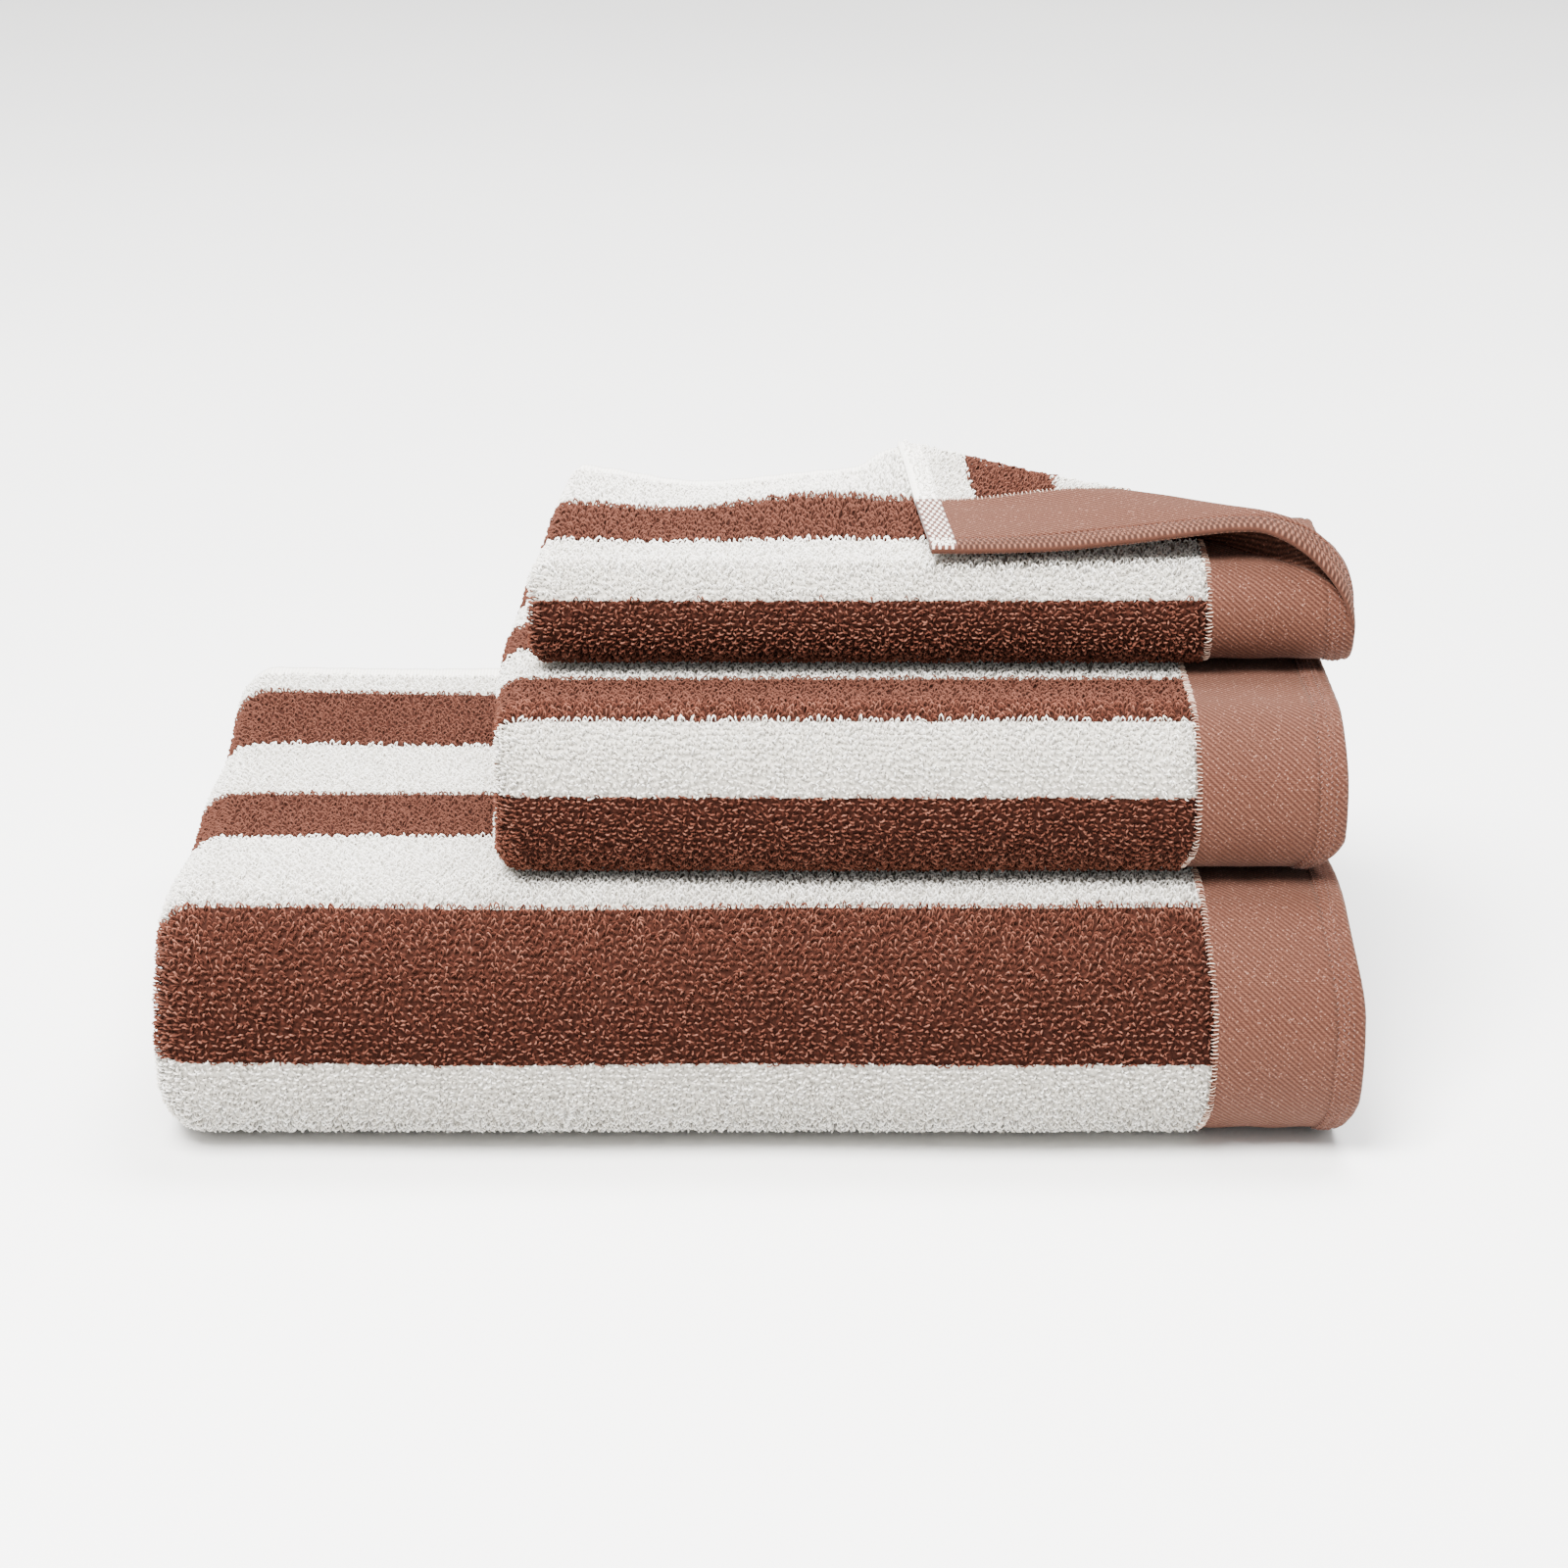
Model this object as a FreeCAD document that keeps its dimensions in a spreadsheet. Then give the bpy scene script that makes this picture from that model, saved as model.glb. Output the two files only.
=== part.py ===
import FreeCAD, Part
import math
import os
import re

import Sketcher
from FreeCAD import Placement, Rotation, Vector

# A stack of three folded terry towels: a bath towel at the bottom, a hand towel on it and a guest
# towel on top. Every towel is folded crosswise first and then lengthwise in thirds, so that its
# front is one full roll and its long edge lies free at the back of the top. The borders of both
# short ends come together at the right-hand end. The back right corner of the guest towel's top
# layer is turned over towards the front left.
# Frame: +X right, +Y to the back, +Z up, origin in the middle of the stack's footprint, on the floor.

doc = FreeCAD.newDocument("TowelStack")
sheet = doc.addObject("Spreadsheet::Sheet", "Sizes")

CELLS = [
    # alias, millimetres (degrees for angles), meaning
    ("air", 0.6, "air between two neighbouring layers"),
    ("rest_gap", 0.5, "air between two towels"),
    ("border_wide", 44, "flat-woven border, with its hem"),
    ("border_thick", 1.8, "border cloth"),
    ("border_sunk", 1.2, "border face below the tips of the pile"),
    ("hem_wide", 9, "turned hem at the end of the border"),
    ("hem_thick", 3.4, "turned hem, three plies"),
    ("hem_sunk", 0.6, "hem face below the tips of the pile"),
    ("thread_wide", 0.8, "row of hem stitches"),
    ("thread_thick", 0.3, "row of hem stitches"),
    ("seam_wide", 1.2, "whipped seam where terry and border join"),
    ("seam_thick", 0.5, "whipped seam"),
    ("edge_wide", 7, "woven edge (selvedge)"),
    ("edge_thick", 2.2, "woven edge"),
    ("edge_sunk", 1.3, "woven edge below the tips of the pile"),
    ("chamf", 0.586, "share of a fold's radius cut off at its corners"),
    ("bath_left", -176, "left end of the bath towel"),
    ("bath_front", -124.5, "front of the bath towel"),
    ("bath_base", 0, "underside of the bath towel"),
    ("bath_wide", 350, "folded length along X"),
    ("bath_deep", 249, "folded depth along Y"),
    ("bath_loft", 6.2, "height of one layer"),
    ("hand_left", -80, "left end of the hand towel"),
    ("hand_front", -94.5, "front of the hand towel"),
    ("hand_wide", 250, "folded length along X"),
    ("hand_deep", 178, "folded depth along Y"),
    ("hand_loft", 4.4, "height of one layer"),
    ("guest_left", -71, "left end of the guest towel"),
    ("guest_front", -50.5, "front of the guest towel"),
    ("guest_wide", 247, "folded length along X"),
    ("guest_deep", 107, "folded depth along Y"),
    ("guest_loft", 5.4, "height of one layer"),
    ("back_step", 2, "free long edge in front of the back roll"),
    ("inner_step", 1, "start of the tucked-in third behind the front roll's centre"),
    ("fold_step", 6, "right-hand fold inside the end of the borders"),
    ("turn_angle", 38.2, "angle of the turned corner's crease to X"),
    ("turn_leg", 131, "from the crease's back end to the right end of the towel"),
    ("lay_angle", 51, "how the turned corner lies: its woven edge's angle to the crease"),
    ("tip_on", 64.4, "the corner's place along the crease"),
    ("tip_out", 72.8, "the corner's distance from the crease"),
    ("turn_roll", 6, "mid radius of the crease's roll"),
    ("turn_air", 0.6, "clearance of the turned corner"),
]
for row, (alias, value, meaning) in enumerate(CELLS, 1):
    sheet.set("A%d" % row, alias)
    sheet.set("B%d" % row, "%.12g" % value)
    sheet.setAlias("B%d" % row, alias)
    sheet.set("C%d" % row, meaning)
doc.recompute()
WORDS = re.compile(r"\b(" + "|".join(sorted((c[0] for c in CELLS), key=len, reverse=True)) + r")\b")


def ex(text):
    """A FreeCAD expression from a formula in the sheet's own words."""
    return WORDS.sub(r"Sizes.\1", str(text))


def num(text):
    value = sheet.evalExpression(ex(text).replace("Sizes.", ""))
    return float(getattr(value, "Value", value))


def plane(body, role):
    for feature in body.Origin.OriginFeatures:
        if feature.Role == role:
            return feature
    raise RuntimeError(role)


def pin(sketch, geo, pos, x, y):
    """Holds a sketch point at formulas x and y, measured from the sketch's origin."""
    for axis, text in (("X", x), ("Y", y)):
        name = "p%s%d_%d" % (axis.lower(), geo, pos)
        sketch.addConstraint(Sketcher.Constraint("Distance" + axis, -1, 1, geo, pos, num(text)))
        sketch.renameConstraint(sketch.ConstraintCount - 1, name)
        if not re.fullmatch(r"[-+0-9. ]+", str(text)):
            sketch.setExpression(".Constraints." + name, ex(text))


def polygon(sketch, points):
    """A closed outline whose corners are all held by formulas."""
    places = [Vector(num(x), num(y), 0) for x, y in points]
    count = len(points)
    sketch.addGeometry([Part.LineSegment(places[i], places[(i + 1) % count]) for i in range(count)], False)
    sketch.addConstraint([Sketcher.Constraint("Coincident", i, 2, (i + 1) % count, 1) for i in range(count)])
    for i, (x, y) in enumerate(points):
        pin(sketch, i, 1, x, y)


def put(obj, x, y, z, angle=None):
    """Binds an object's Placement to the sheet."""
    for axis, text in (("x", x), ("y", y), ("z", z)):
        obj.setExpression("Placement.Base." + axis, ex(text))
    if angle is not None:
        obj.Placement = Placement(Vector(0, 0, 0), Rotation(Vector(0, 0, 1), num(angle)))
        obj.setExpression("Placement.Rotation.Angle", ex(angle) + " * 1deg")


class Towel:
    """One folded towel. third is the height of one third of it, which holds 2 or 4 layers."""

    def __init__(self, name, layers):
        self.name, self.layers = name, layers
        self.loft = name + "_loft"
        self.third = "(%d * %s_loft)" % (layers, name)
        self.wide, self.deep = name + "_wide", name + "_deep"
        self.start = "(1.5 * %s + inner_step)" % self.third
        self.stop = "(%s - back_step)" % self.deep
        self.join = "(%s - border_wide)" % self.wide
        self.end = "(%s - fold_step)" % self.wide

    def place(self, obj):
        base = {
            "bath": "bath_base",
            "hand": "bath_base + 12 * bath_loft + rest_gap",
            "guest": "bath_base + 12 * bath_loft + 12 * hand_loft + 2 * rest_gap",
        }[self.name]
        put(obj, self.name + "_left", self.name + "_front", base)

    def spine(self, body, start, stop):
        """The line that the layers follow: tucked-in third, back turn, bottom third, front roll, top third."""
        g = self.third
        back, front = "(%s - %s)" % (self.deep, g), "(1.5 * %s)" % g
        points = [
            (start, "1.5 * " + g), (back, "1.5 * " + g), (back, "0.5 * " + g),
            (front, "0.5 * " + g), (front, "2.5 * " + g), (stop, "2.5 * " + g),
        ]
        at = [Vector(num(y), num(z), 0) for y, z in points]
        up = Vector(0, 0, 1)
        sketch = body.newObject("Sketcher::SketchObject", body.Name + "_spine")
        sketch.AttachmentSupport = [(plane(body, "YZ_Plane"), "")]
        sketch.MapMode = "FlatFace"
        half = math.pi / 2
        turn = Part.ArcOfCircle(Part.Circle(Vector(num(back), num(g), 0), up, num(g) / 2), -half, half)
        roll = Part.ArcOfCircle(Part.Circle(Vector(num(front), 1.5 * num(g), 0), up, num(g)), half, 3 * half)
        sketch.addGeometry(
            [Part.LineSegment(at[0], at[1]), turn, Part.LineSegment(at[2], at[3]), roll, Part.LineSegment(at[4], at[5])],
            False,
        )
        for i, (geo, pos) in enumerate(((0, 1), (0, 2), (2, 1), (2, 2), (4, 1), (4, 2))):
            pin(sketch, geo, pos, *points[i])
        for pair in ((1, 2, 0, 2), (1, 1, 2, 1), (3, 2, 2, 2), (3, 1, 4, 1)):
            sketch.addConstraint(Sketcher.Constraint("Coincident", *pair))
        for geo, text in ((1, back), (3, front)):
            sketch.addConstraint(Sketcher.Constraint("DistanceX", -1, 1, geo, 3, num(text)))
            sketch.renameConstraint(sketch.ConstraintCount - 1, "centre%d" % geo)
            sketch.setExpression(".Constraints.centre%d" % geo, ex(text))
        return sketch

    def outline(self, body, points, y, top):
        """The layers' outline across the fold line, on a plane at y. Its depth counts from the outer face."""
        sketch = body.newObject("Sketcher::SketchObject", body.Name + "_section")
        sketch.AttachmentSupport = [(plane(body, "XZ_Plane"), "")]
        sketch.MapMode = "FlatFace"
        sketch.AttachmentOffset = Placement(Vector(0, 0, -num(y)), Rotation())
        sketch.setExpression("AttachmentOffset.Base.z", "-(" + ex(y) + ")")
        polygon(sketch, [(x, "%s * %s - (%s)" % (top, self.third, n)) for x, n in points])
        return sketch

    def strip(self, label, points, start=None, stop=None):
        """A strip of cloth that follows the whole fold line."""
        body = doc.addObject("PartDesign::Body", label)
        body.Label = label
        start, stop = start or self.start, stop or self.stop
        spine = self.spine(body, start, stop)
        section = self.outline(body, points, start, 2)
        doc.recompute()
        pipe = body.newObject("PartDesign::AdditivePipe", label + "_fold")
        pipe.Profile = section
        pipe.Spine = (spine, ["Edge%d" % i for i in range(1, 6)])
        pipe.Mode = "Binormal"
        pipe.Binormal = Vector(1, 0, 0)
        self.place(body)
        return body

    def edge(self, label, points, y, top):
        """A woven edge at one end of the fold line."""
        body = doc.addObject("PartDesign::Body", label)
        body.Label = label
        section = self.outline(body, points, y, top)
        doc.recompute()
        pad = body.newObject("PartDesign::Pad", label + "_pad")
        pad.Profile = section
        pad.Reversed = True
        pad.setExpression("Length", ex("edge_wide"))
        self.place(body)
        return body

    def face(self, layer, sunk):
        return "(%d * %s + %s)" % (layer, self.loft, sunk)

    def layers_outline(self, sunk, thick):
        """The cloth folded crosswise: once for 2 layers, twice for 4, with both ends at the right."""
        k, t, wall = "chamf", self.loft, thick
        o = [self.face(j, sunk) for j in range(self.layers)]
        i = ["(%s + %s)" % (face, thick) for face in o]
        if self.layers == 2:
            r = "((%s - %s) / 2)" % (i[1], o[0])
            return [
                (self.join, o[0]), ("%s * %s" % (k, r), o[0]), ("0", "%s + %s * %s" % (o[0], k, r)),
                ("0", "%s - %s * %s" % (i[1], k, r)), ("%s * %s" % (k, r), i[1]),
                (self.join, i[1]), (self.join, o[1]), (wall, o[1]), (wall, i[0]), (self.join, i[0]),
            ]
        big = "((%s - %s) / 2)" % (i[3], o[0])
        hollow = "((%s - %s) / 2)" % (o[3], i[0])
        small = "((%s - %s) / 2)" % (i[2], o[1])
        right = "((%s - %s) / 2)" % (i[3], o[2])
        return [
            (self.join, o[0]), ("%s * %s" % (k, big), o[0]), ("0", "%s + %s * %s" % (o[0], k, big)),
            ("0", "%s - %s * %s" % (i[3], k, big)), ("%s * %s" % (k, big), i[3]),
            ("%s - %s * %s" % (self.end, k, right), i[3]), (self.end, "%s - %s * %s" % (i[3], k, right)),
            (self.end, "%s + %s * %s" % (o[2], k, right)), ("%s - %s * %s" % (self.end, k, right), o[2]),
            ("%s + %s" % (t, wall), o[2]), ("%s + %s" % (t, wall), i[1]),
            (self.join, i[1]), (self.join, o[1]),
            ("%s + %s * %s" % (t, k, small), o[1]), (t, "%s + %s * %s" % (o[1], k, small)),
            (t, "%s - %s * %s" % (i[2], k, small)), ("%s + %s * %s" % (t, k, small), i[2]),
            ("%s - %s" % (self.end, wall), i[2]), ("%s - %s" % (self.end, wall), o[3]),
            ("%s + %s * %s" % (wall, k, hollow), o[3]), (wall, "%s - %s * %s" % (o[3], k, hollow)),
            (wall, "%s + %s * %s" % (i[0], k, hollow)), ("%s + %s * %s" % (wall, k, hollow), i[0]),
            (self.join, i[0]),
        ]

    def band(self, layer, left, right, sunk, thick):
        o = self.face(layer, sunk)
        i = "(%s + %s)" % (o, thick)
        return [(left, o), (right, o), (right, i), (left, i)]

    def build(self):
        """The towel's pieces by node name."""
        n, made = self.name, {}
        terry = self.layers_outline("0", "(%s - air)" % self.loft)
        made[n + "_terry"] = self.strip(
            n + "_terry", terry, "(%s + edge_wide)" % self.start, "(%s - edge_wide)" % self.stop)
        thin = self.layers_outline("edge_sunk", "edge_thick")
        made[n + "_selvedge_inner"] = self.edge(n + "_selvedge_inner", thin, self.start, 2)
        made[n + "_selvedge_top"] = self.edge(n + "_selvedge_top", thin, "(%s - edge_wide)" % self.stop, 3)
        hem = "(%s - hem_wide)" % self.wide
        for layer, side in ((0, "outer"), (1, "inner")):
            for label, left, right, sunk, thick in (
                ("border", self.join, hem, "border_sunk", "border_thick"),
                ("hem", hem, self.wide, "hem_sunk", "hem_thick"),
                ("hem_thread", "(%s + 1)" % hem, "(%s + 1 + thread_wide)" % hem, "(hem_sunk - thread_thick)", "thread_thick"),
                ("border_seam", self.join, "(%s + seam_wide)" % self.join, "(border_sunk - seam_thick)", "seam_thick"),
            ):
                name = "%s_%s_%s" % (n, label, side)
                made[name] = self.strip(name, self.band(layer, left, right, sunk, thick))
        return made


nodes = {}
for towel in (Towel("bath", 4), Towel("hand", 4), Towel("guest", 2)):
    nodes.update(towel.build())
guest = towel

# The turned corner of the guest towel. Its crease starts at the back edge, turn_leg from the right end,
# and runs to the front right. The cloth has given way along the crease, so the flap lies at lay_angle,
# not as the exact mirror of the flat corner. The top layer stops short of the crease by the crease's
# roll, and so does the crown of its front roll, so that the corner can be opened about it.
SIN, COS = "sin(turn_angle * 1deg)", "cos(turn_angle * 1deg)"
LSIN, LCOS = "sin(lay_angle * 1deg)", "cos(lay_angle * 1deg)"
TAN = "tan(turn_angle * 1deg)"
third = guest.third
skin = "(guest_loft - air)"
mid = "(3 * %s - %s / 2)" % (third, skin)
base = "(bath_base + 12 * bath_loft + 12 * hand_loft + 2 * rest_gap)"
foot_x, foot_y = "(guest_wide - turn_leg)", guest.stop
clear = "(turn_roll + %s / 2 + turn_air)" % skin
front = "(1.5 * %s)" % third
swept = "(%s - 12.5)" % front
cut_x = "(%s - %s / %s)" % (foot_x, clear, SIN)


def plate(name, points, thick, z):
    """An extruded outline: its sketch lies on the XY plane and its height starts at z."""
    sketch = doc.addObject("Sketcher::SketchObject", name + "_outline")
    polygon(sketch, points)
    sketch.Placement = Placement(Vector(0, 0, num(z)), Rotation())
    sketch.setExpression("Placement.Base.z", ex(z))
    solid = doc.addObject("Part::Extrusion", name)
    solid.Base = sketch
    solid.DirMode = "Normal"
    solid.Solid = True
    solid.setExpression("LengthFwd", ex(thick))
    return solid


corner = plate(
    "corner_space",
    [
        ("%s - 5 / %s" % (cut_x, TAN), "%s + 5" % foot_y),
        ("%s + (%s - %s) / %s" % (cut_x, foot_y, swept, TAN), swept),
        ("guest_wide + 5", swept),
        ("guest_wide + 5", "%s + 5" % foot_y),
    ],
    "guest_loft + 3",
    "3 * %s - guest_loft + air / 2" % third,
)
guest.place(corner)
corner.setExpression("Placement.Base.z", ex(base))
for name in [n for n in nodes if n.startswith("guest_") and (n.endswith("_outer") or n in ("guest_terry", "guest_selvedge_top"))]:
    whole = nodes[name]
    whole.Label = name + "_uncut"
    cut = doc.addObject("Part::Cut", name + "_cut")
    cut.Base, cut.Tool = whole, corner
    cut.Label = name
    nodes[name] = cut

# The corner's own frame: its origin is on the crease's axis at the back edge, +X runs along the
# crease to the front right and +Y away from the turned flap.
axis_z = "(%s + %s + turn_roll)" % (base, mid)


def hem_at(across, on):
    """A point of the flap, across in from the hem and on along it from the corner towards the crease."""
    return (
        "(tip_on - (%s) * %s + (%s) * %s)" % (across, LCOS, on, LSIN),
        "-(tip_out - (%s) * %s - (%s) * %s)" % (across, LSIN, on, LCOS),
    )


def roll_at(across):
    """Where a line parallel to the hem reaches the roll."""
    on = "((tip_out - (%s) * %s) / %s)" % (across, LSIN, LCOS)
    return "(tip_on - (%s) * %s + %s * %s)" % (across, LCOS, on, LSIN), "0"


def piece(name, points, sunk, thick):
    """A flat part of the turned flap. sunk is the depth below the flap's upper face."""
    solid = plate(name, points, thick, "turn_roll + %s / 2 - (%s) - (%s)" % (skin, sunk, thick))
    put(solid, "guest_left + " + foot_x, "guest_front + " + foot_y, axis_z, "-turn_angle")
    solid.Label = name
    return solid


def quarter(name, left, right, inner, outer):
    """A quarter of a tube about the crease's axis: the outer half of the roll, from its side to its top."""
    solids = []
    for radius in (outer, inner):
        rod = doc.addObject("Part::Cylinder", name + "_rod")
        rod.Angle = 90
        rod.setExpression("Radius", ex(radius))
        rod.setExpression("Height", ex("(%s) - (%s)" % (right, left)))
        # the cylinder's axis is laid along the crease, and its quarter stands over the roll's outer side
        rod.Placement = Placement(Vector(num(left), 0, 0), Rotation(Vector(0, 0, 1), Vector(1, 0, 0)) * Rotation())
        solids.append(rod)
    turn = Rotation(Vector(0, 1, 0), Vector(0, 0, 1), Vector(1, 0, 0), "ZXY")
    for rod in solids:
        rod.Placement = Placement(Vector(num(left), 0, 0), turn)
        rod.setExpression("Placement.Base.x", ex(left))
    tube = doc.addObject("Part::Cut", name + "_tube")
    tube.Base, tube.Tool = solids
    return tube


def joined(name, flat, tube):
    """The flat part and its part of the roll, as one solid in the corner's frame."""
    flat.Label = name + "_flat"
    put(tube, "guest_left + " + foot_x, "guest_front + " + foot_y, axis_z, "-turn_angle")
    fuse = doc.addObject("Part::Fuse", name + "_fuse")
    fuse.Base, fuse.Tool = flat, tube
    fuse.Label = name
    return fuse


edge_in = "edge_wide"
edge_start = ("(tip_on - tip_out / %s * %s)" % (LSIN, LCOS), "0")
# terry: a triangle between the woven edge, the border and the roll
terry_join = roll_at("border_wide")[0]
terry_edge = "(%s + edge_wide / %s)" % (edge_start[0], LSIN)
flap_terry = piece(
    "flap_terry",
    [(terry_edge, "0"), hem_at("border_wide", edge_in), (terry_join, "0")], "0", skin)
nodes["flap_terry"] = joined("flap_terry", flap_terry, quarter(
    "flap_terry", terry_edge, terry_join, "turn_roll - %s / 2" % skin, "turn_roll + %s / 2" % skin))
# border: the strip between the terry and the hem
border_right = roll_at("hem_wide")[0]
flap_border = piece(
    "flap_border",
    [(terry_join, "0"), hem_at("border_wide", edge_in), hem_at("hem_wide", edge_in), roll_at("hem_wide")],
    "border_sunk", "border_thick")
nodes["flap_border"] = joined("flap_border", flap_border, quarter(
    "flap_border", terry_join, border_right,
    "turn_roll + %s / 2 - border_sunk - border_thick" % skin, "turn_roll + %s / 2 - border_sunk" % skin))
# hem, woven edge and their stitches
nodes["flap_hem"] = piece(
    "flap_hem", [hem_at("hem_wide", edge_in), hem_at("0", edge_in), roll_at("0"), roll_at("hem_wide")],
    "hem_sunk", "hem_thick")
nodes["flap_selvedge"] = piece(
    "flap_selvedge", [edge_start, hem_at("0", "0"), hem_at("0", edge_in), (terry_edge, "0")],
    "edge_sunk", "edge_thick")
nodes["flap_hem_thread"] = piece(
    "flap_hem_thread",
    [hem_at("hem_wide - 1", edge_in), hem_at("hem_wide - 1 - thread_wide", edge_in),
     roll_at("hem_wide - 1 - thread_wide"), roll_at("hem_wide - 1")],
    "hem_sunk - thread_thick", "thread_thick")
nodes["flap_border_seam"] = piece(
    "flap_border_seam",
    [hem_at("border_wide", edge_in), hem_at("border_wide - seam_wide", edge_in),
     roll_at("border_wide - seam_wide"), roll_at("border_wide")],
    "border_sunk - seam_thick", "seam_thick")

doc.recompute()

# Nothing is written unless every object is sound.
for obj in doc.Objects:
    if "Invalid" in obj.State or "Error" in obj.State:
        raise RuntimeError("%s (%s): %s" % (obj.Name, obj.Label, obj.State))
box = FreeCAD.BoundBox()
os.makedirs("parts", exist_ok=True)
for name, obj in sorted(nodes.items()):
    shape = obj.Shape
    if obj.Label != name or shape.isNull() or not shape.isValid() or len(shape.Solids) != 1 or shape.Volume <= 0:
        raise RuntimeError("%s: %s, %d solids" % (name, obj.Label, len(shape.Solids)))
    box.add(shape.BoundBox)
for name, obj in sorted(nodes.items()):
    obj.Shape.exportStep(os.path.join("parts", name + ".step"))
    b = obj.Shape.BoundBox
    print("%-28s %10.0f mm3  x %.1f %.1f  y %.1f %.1f  z %.1f %.1f" % (
        name, obj.Shape.Volume, b.XMin, b.XMax, b.YMin, b.YMax, b.ZMin, b.ZMax))
print("%d nodes, box %s" % (len(nodes), box))
u = (num(COS), -num(SIN))
print("crease axis through (%.3f, %.3f, %.3f), opening axis (%.5f, %.5f, 0)" % (
    num("guest_left + " + foot_x), num("guest_front + " + foot_y), num(axis_z), -u[0], -u[1]))
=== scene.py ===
import math
import bpy
import numpy as np
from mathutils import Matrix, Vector


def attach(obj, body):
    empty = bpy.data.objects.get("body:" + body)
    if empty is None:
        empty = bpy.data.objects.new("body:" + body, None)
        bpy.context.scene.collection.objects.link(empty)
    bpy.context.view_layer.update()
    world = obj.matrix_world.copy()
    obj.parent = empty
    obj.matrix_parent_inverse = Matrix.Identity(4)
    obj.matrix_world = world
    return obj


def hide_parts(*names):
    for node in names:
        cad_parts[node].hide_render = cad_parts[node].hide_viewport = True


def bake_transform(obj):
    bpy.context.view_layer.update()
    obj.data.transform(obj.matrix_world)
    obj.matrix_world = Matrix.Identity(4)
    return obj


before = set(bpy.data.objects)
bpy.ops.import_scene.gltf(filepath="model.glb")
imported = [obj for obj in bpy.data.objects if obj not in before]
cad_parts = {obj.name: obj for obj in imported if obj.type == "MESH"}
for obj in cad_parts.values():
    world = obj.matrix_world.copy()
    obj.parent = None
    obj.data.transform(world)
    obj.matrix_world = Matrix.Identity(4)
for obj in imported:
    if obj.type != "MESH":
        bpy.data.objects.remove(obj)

# A stack of three folded, striped terry towels. Lengths here are millimetres in the row frame
# (+X right, +Y back, +Z up); build() turns them into metres.
DENSE = 1.0
SCENE = bpy.context.scene


def ease(x, a, b):
    t = np.clip((np.asarray(x, float) - a) / (b - a), 0, 1)
    return t * t * (3 - 2 * t)


def bell(x, middle, width):
    return np.exp(-(((x - middle) / width) ** 2))


def waves(x, y, z, seed, size):
    """Smooth unevenness between about -1 and 1, with features of about size."""
    rng = np.random.default_rng(seed)
    total = 0
    for k in range(7):
        d = rng.normal(size=3)
        d /= np.linalg.norm(d)
        f = 2 * math.pi / (size * rng.uniform(0.7, 1.9))
        total = total + np.sin((x * d[0] + y * d[1] + z * d[2]) * f + rng.uniform(0, 6.28))
    return total / 3.2


# ---------------------------------------------------------------- how each towel settles
def settle_bath(x, y, z):
    h = z / 74.4
    dz = h * (1.8 * bell(y, -78, 26) - 4.6 * ease(y, -85, 10) * (1 - ease(y, 40, 112)))
    k = np.clip(x / 175.0, 0, 1.2) ** 2.2
    dx = -k * 4.2 * ease(z, 48, 77) - k * 3.5 * ease(-z, -22, 0)
    m = waves(x, y, z, 3, 95)
    dz = dz + 0.7 * m * np.clip(h, 0, 1) * (1 - ease(x, -95, -75) * (y > -95) * ease(z, 60, 74))
    dy = 0.9 * waves(x, y, z, 4, 120) * ease(z, 0, 12)
    end = ease(-x, 120, 176)
    dx = dx - 2.2 * end + end * 0.6 * waves(x * 0, y, z, 5, 70)
    return x + dx, y + dy, z + dz


def settle_hand(x, y, z):
    h = (z - 74.9) / 52.8
    dz = -(1 - h) * 4.0 * ease(y, -60, 20)
    k = np.clip(x / 170.0, 0, 1.2) ** 2.2
    dx = -k * 0.8 * ease(z, 108, 128) - k * 6 * ease(-z, -92, -76)
    dx = dx + 3.0 * ease(y, 0, 84) * ease(-x, 20, 80)
    dy = 0.9 * waves(x, y, z, 14, 90) * ease(z, 75, 84) * ease(-z, -127, -110)
    dx = dx + ease(-x, 40, 80) * 0.9 * waves(x * 0, y, z, 15, 50)
    return x + dx, y + dy, z + dz


def settle_guest(x, y, z):
    h = np.clip((z - 128.2) / 32.4, 0, 1.1)
    back = ease(y, -38, 56)
    up = 1.14 * h ** 4 * back * (3.2 + 8.5 * ease(x, -70, 55) - 3 * ease(x, 60, 170))
    low = -7.2 * ease(y, 8, 54) * (1 - ease(x, 26, 42)) * ease(x, -74, -15)
    low = low + 2.6 * bell(x, 14, 24) * bell(y, 9, 17) * (1 - ease(x, 26, 40))
    low = low + 3.8 * (1 - ease(x, -68, -28)) * ease(y, -30, 8) * (1 - 0.3 * ease(y, 8, 54))
    up = up + h ** 4 * low
    sag = -h * 15 * ease(x, 88, 172) * ease(y, -16, 50) * (1 - ease(h, 0.84, 0.9))
    dx = 0.085 * (y + 50.5) * (1 - ease(x, -71, 60))
    dy = 0.7 * waves(x, y, z, 24, 80) * ease(z, 128, 136) * (1 - ease(x, 120, 150)) * (1 - ease(y, -30, 0))
    return x + dx, y + dy, z + up + sag


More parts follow.
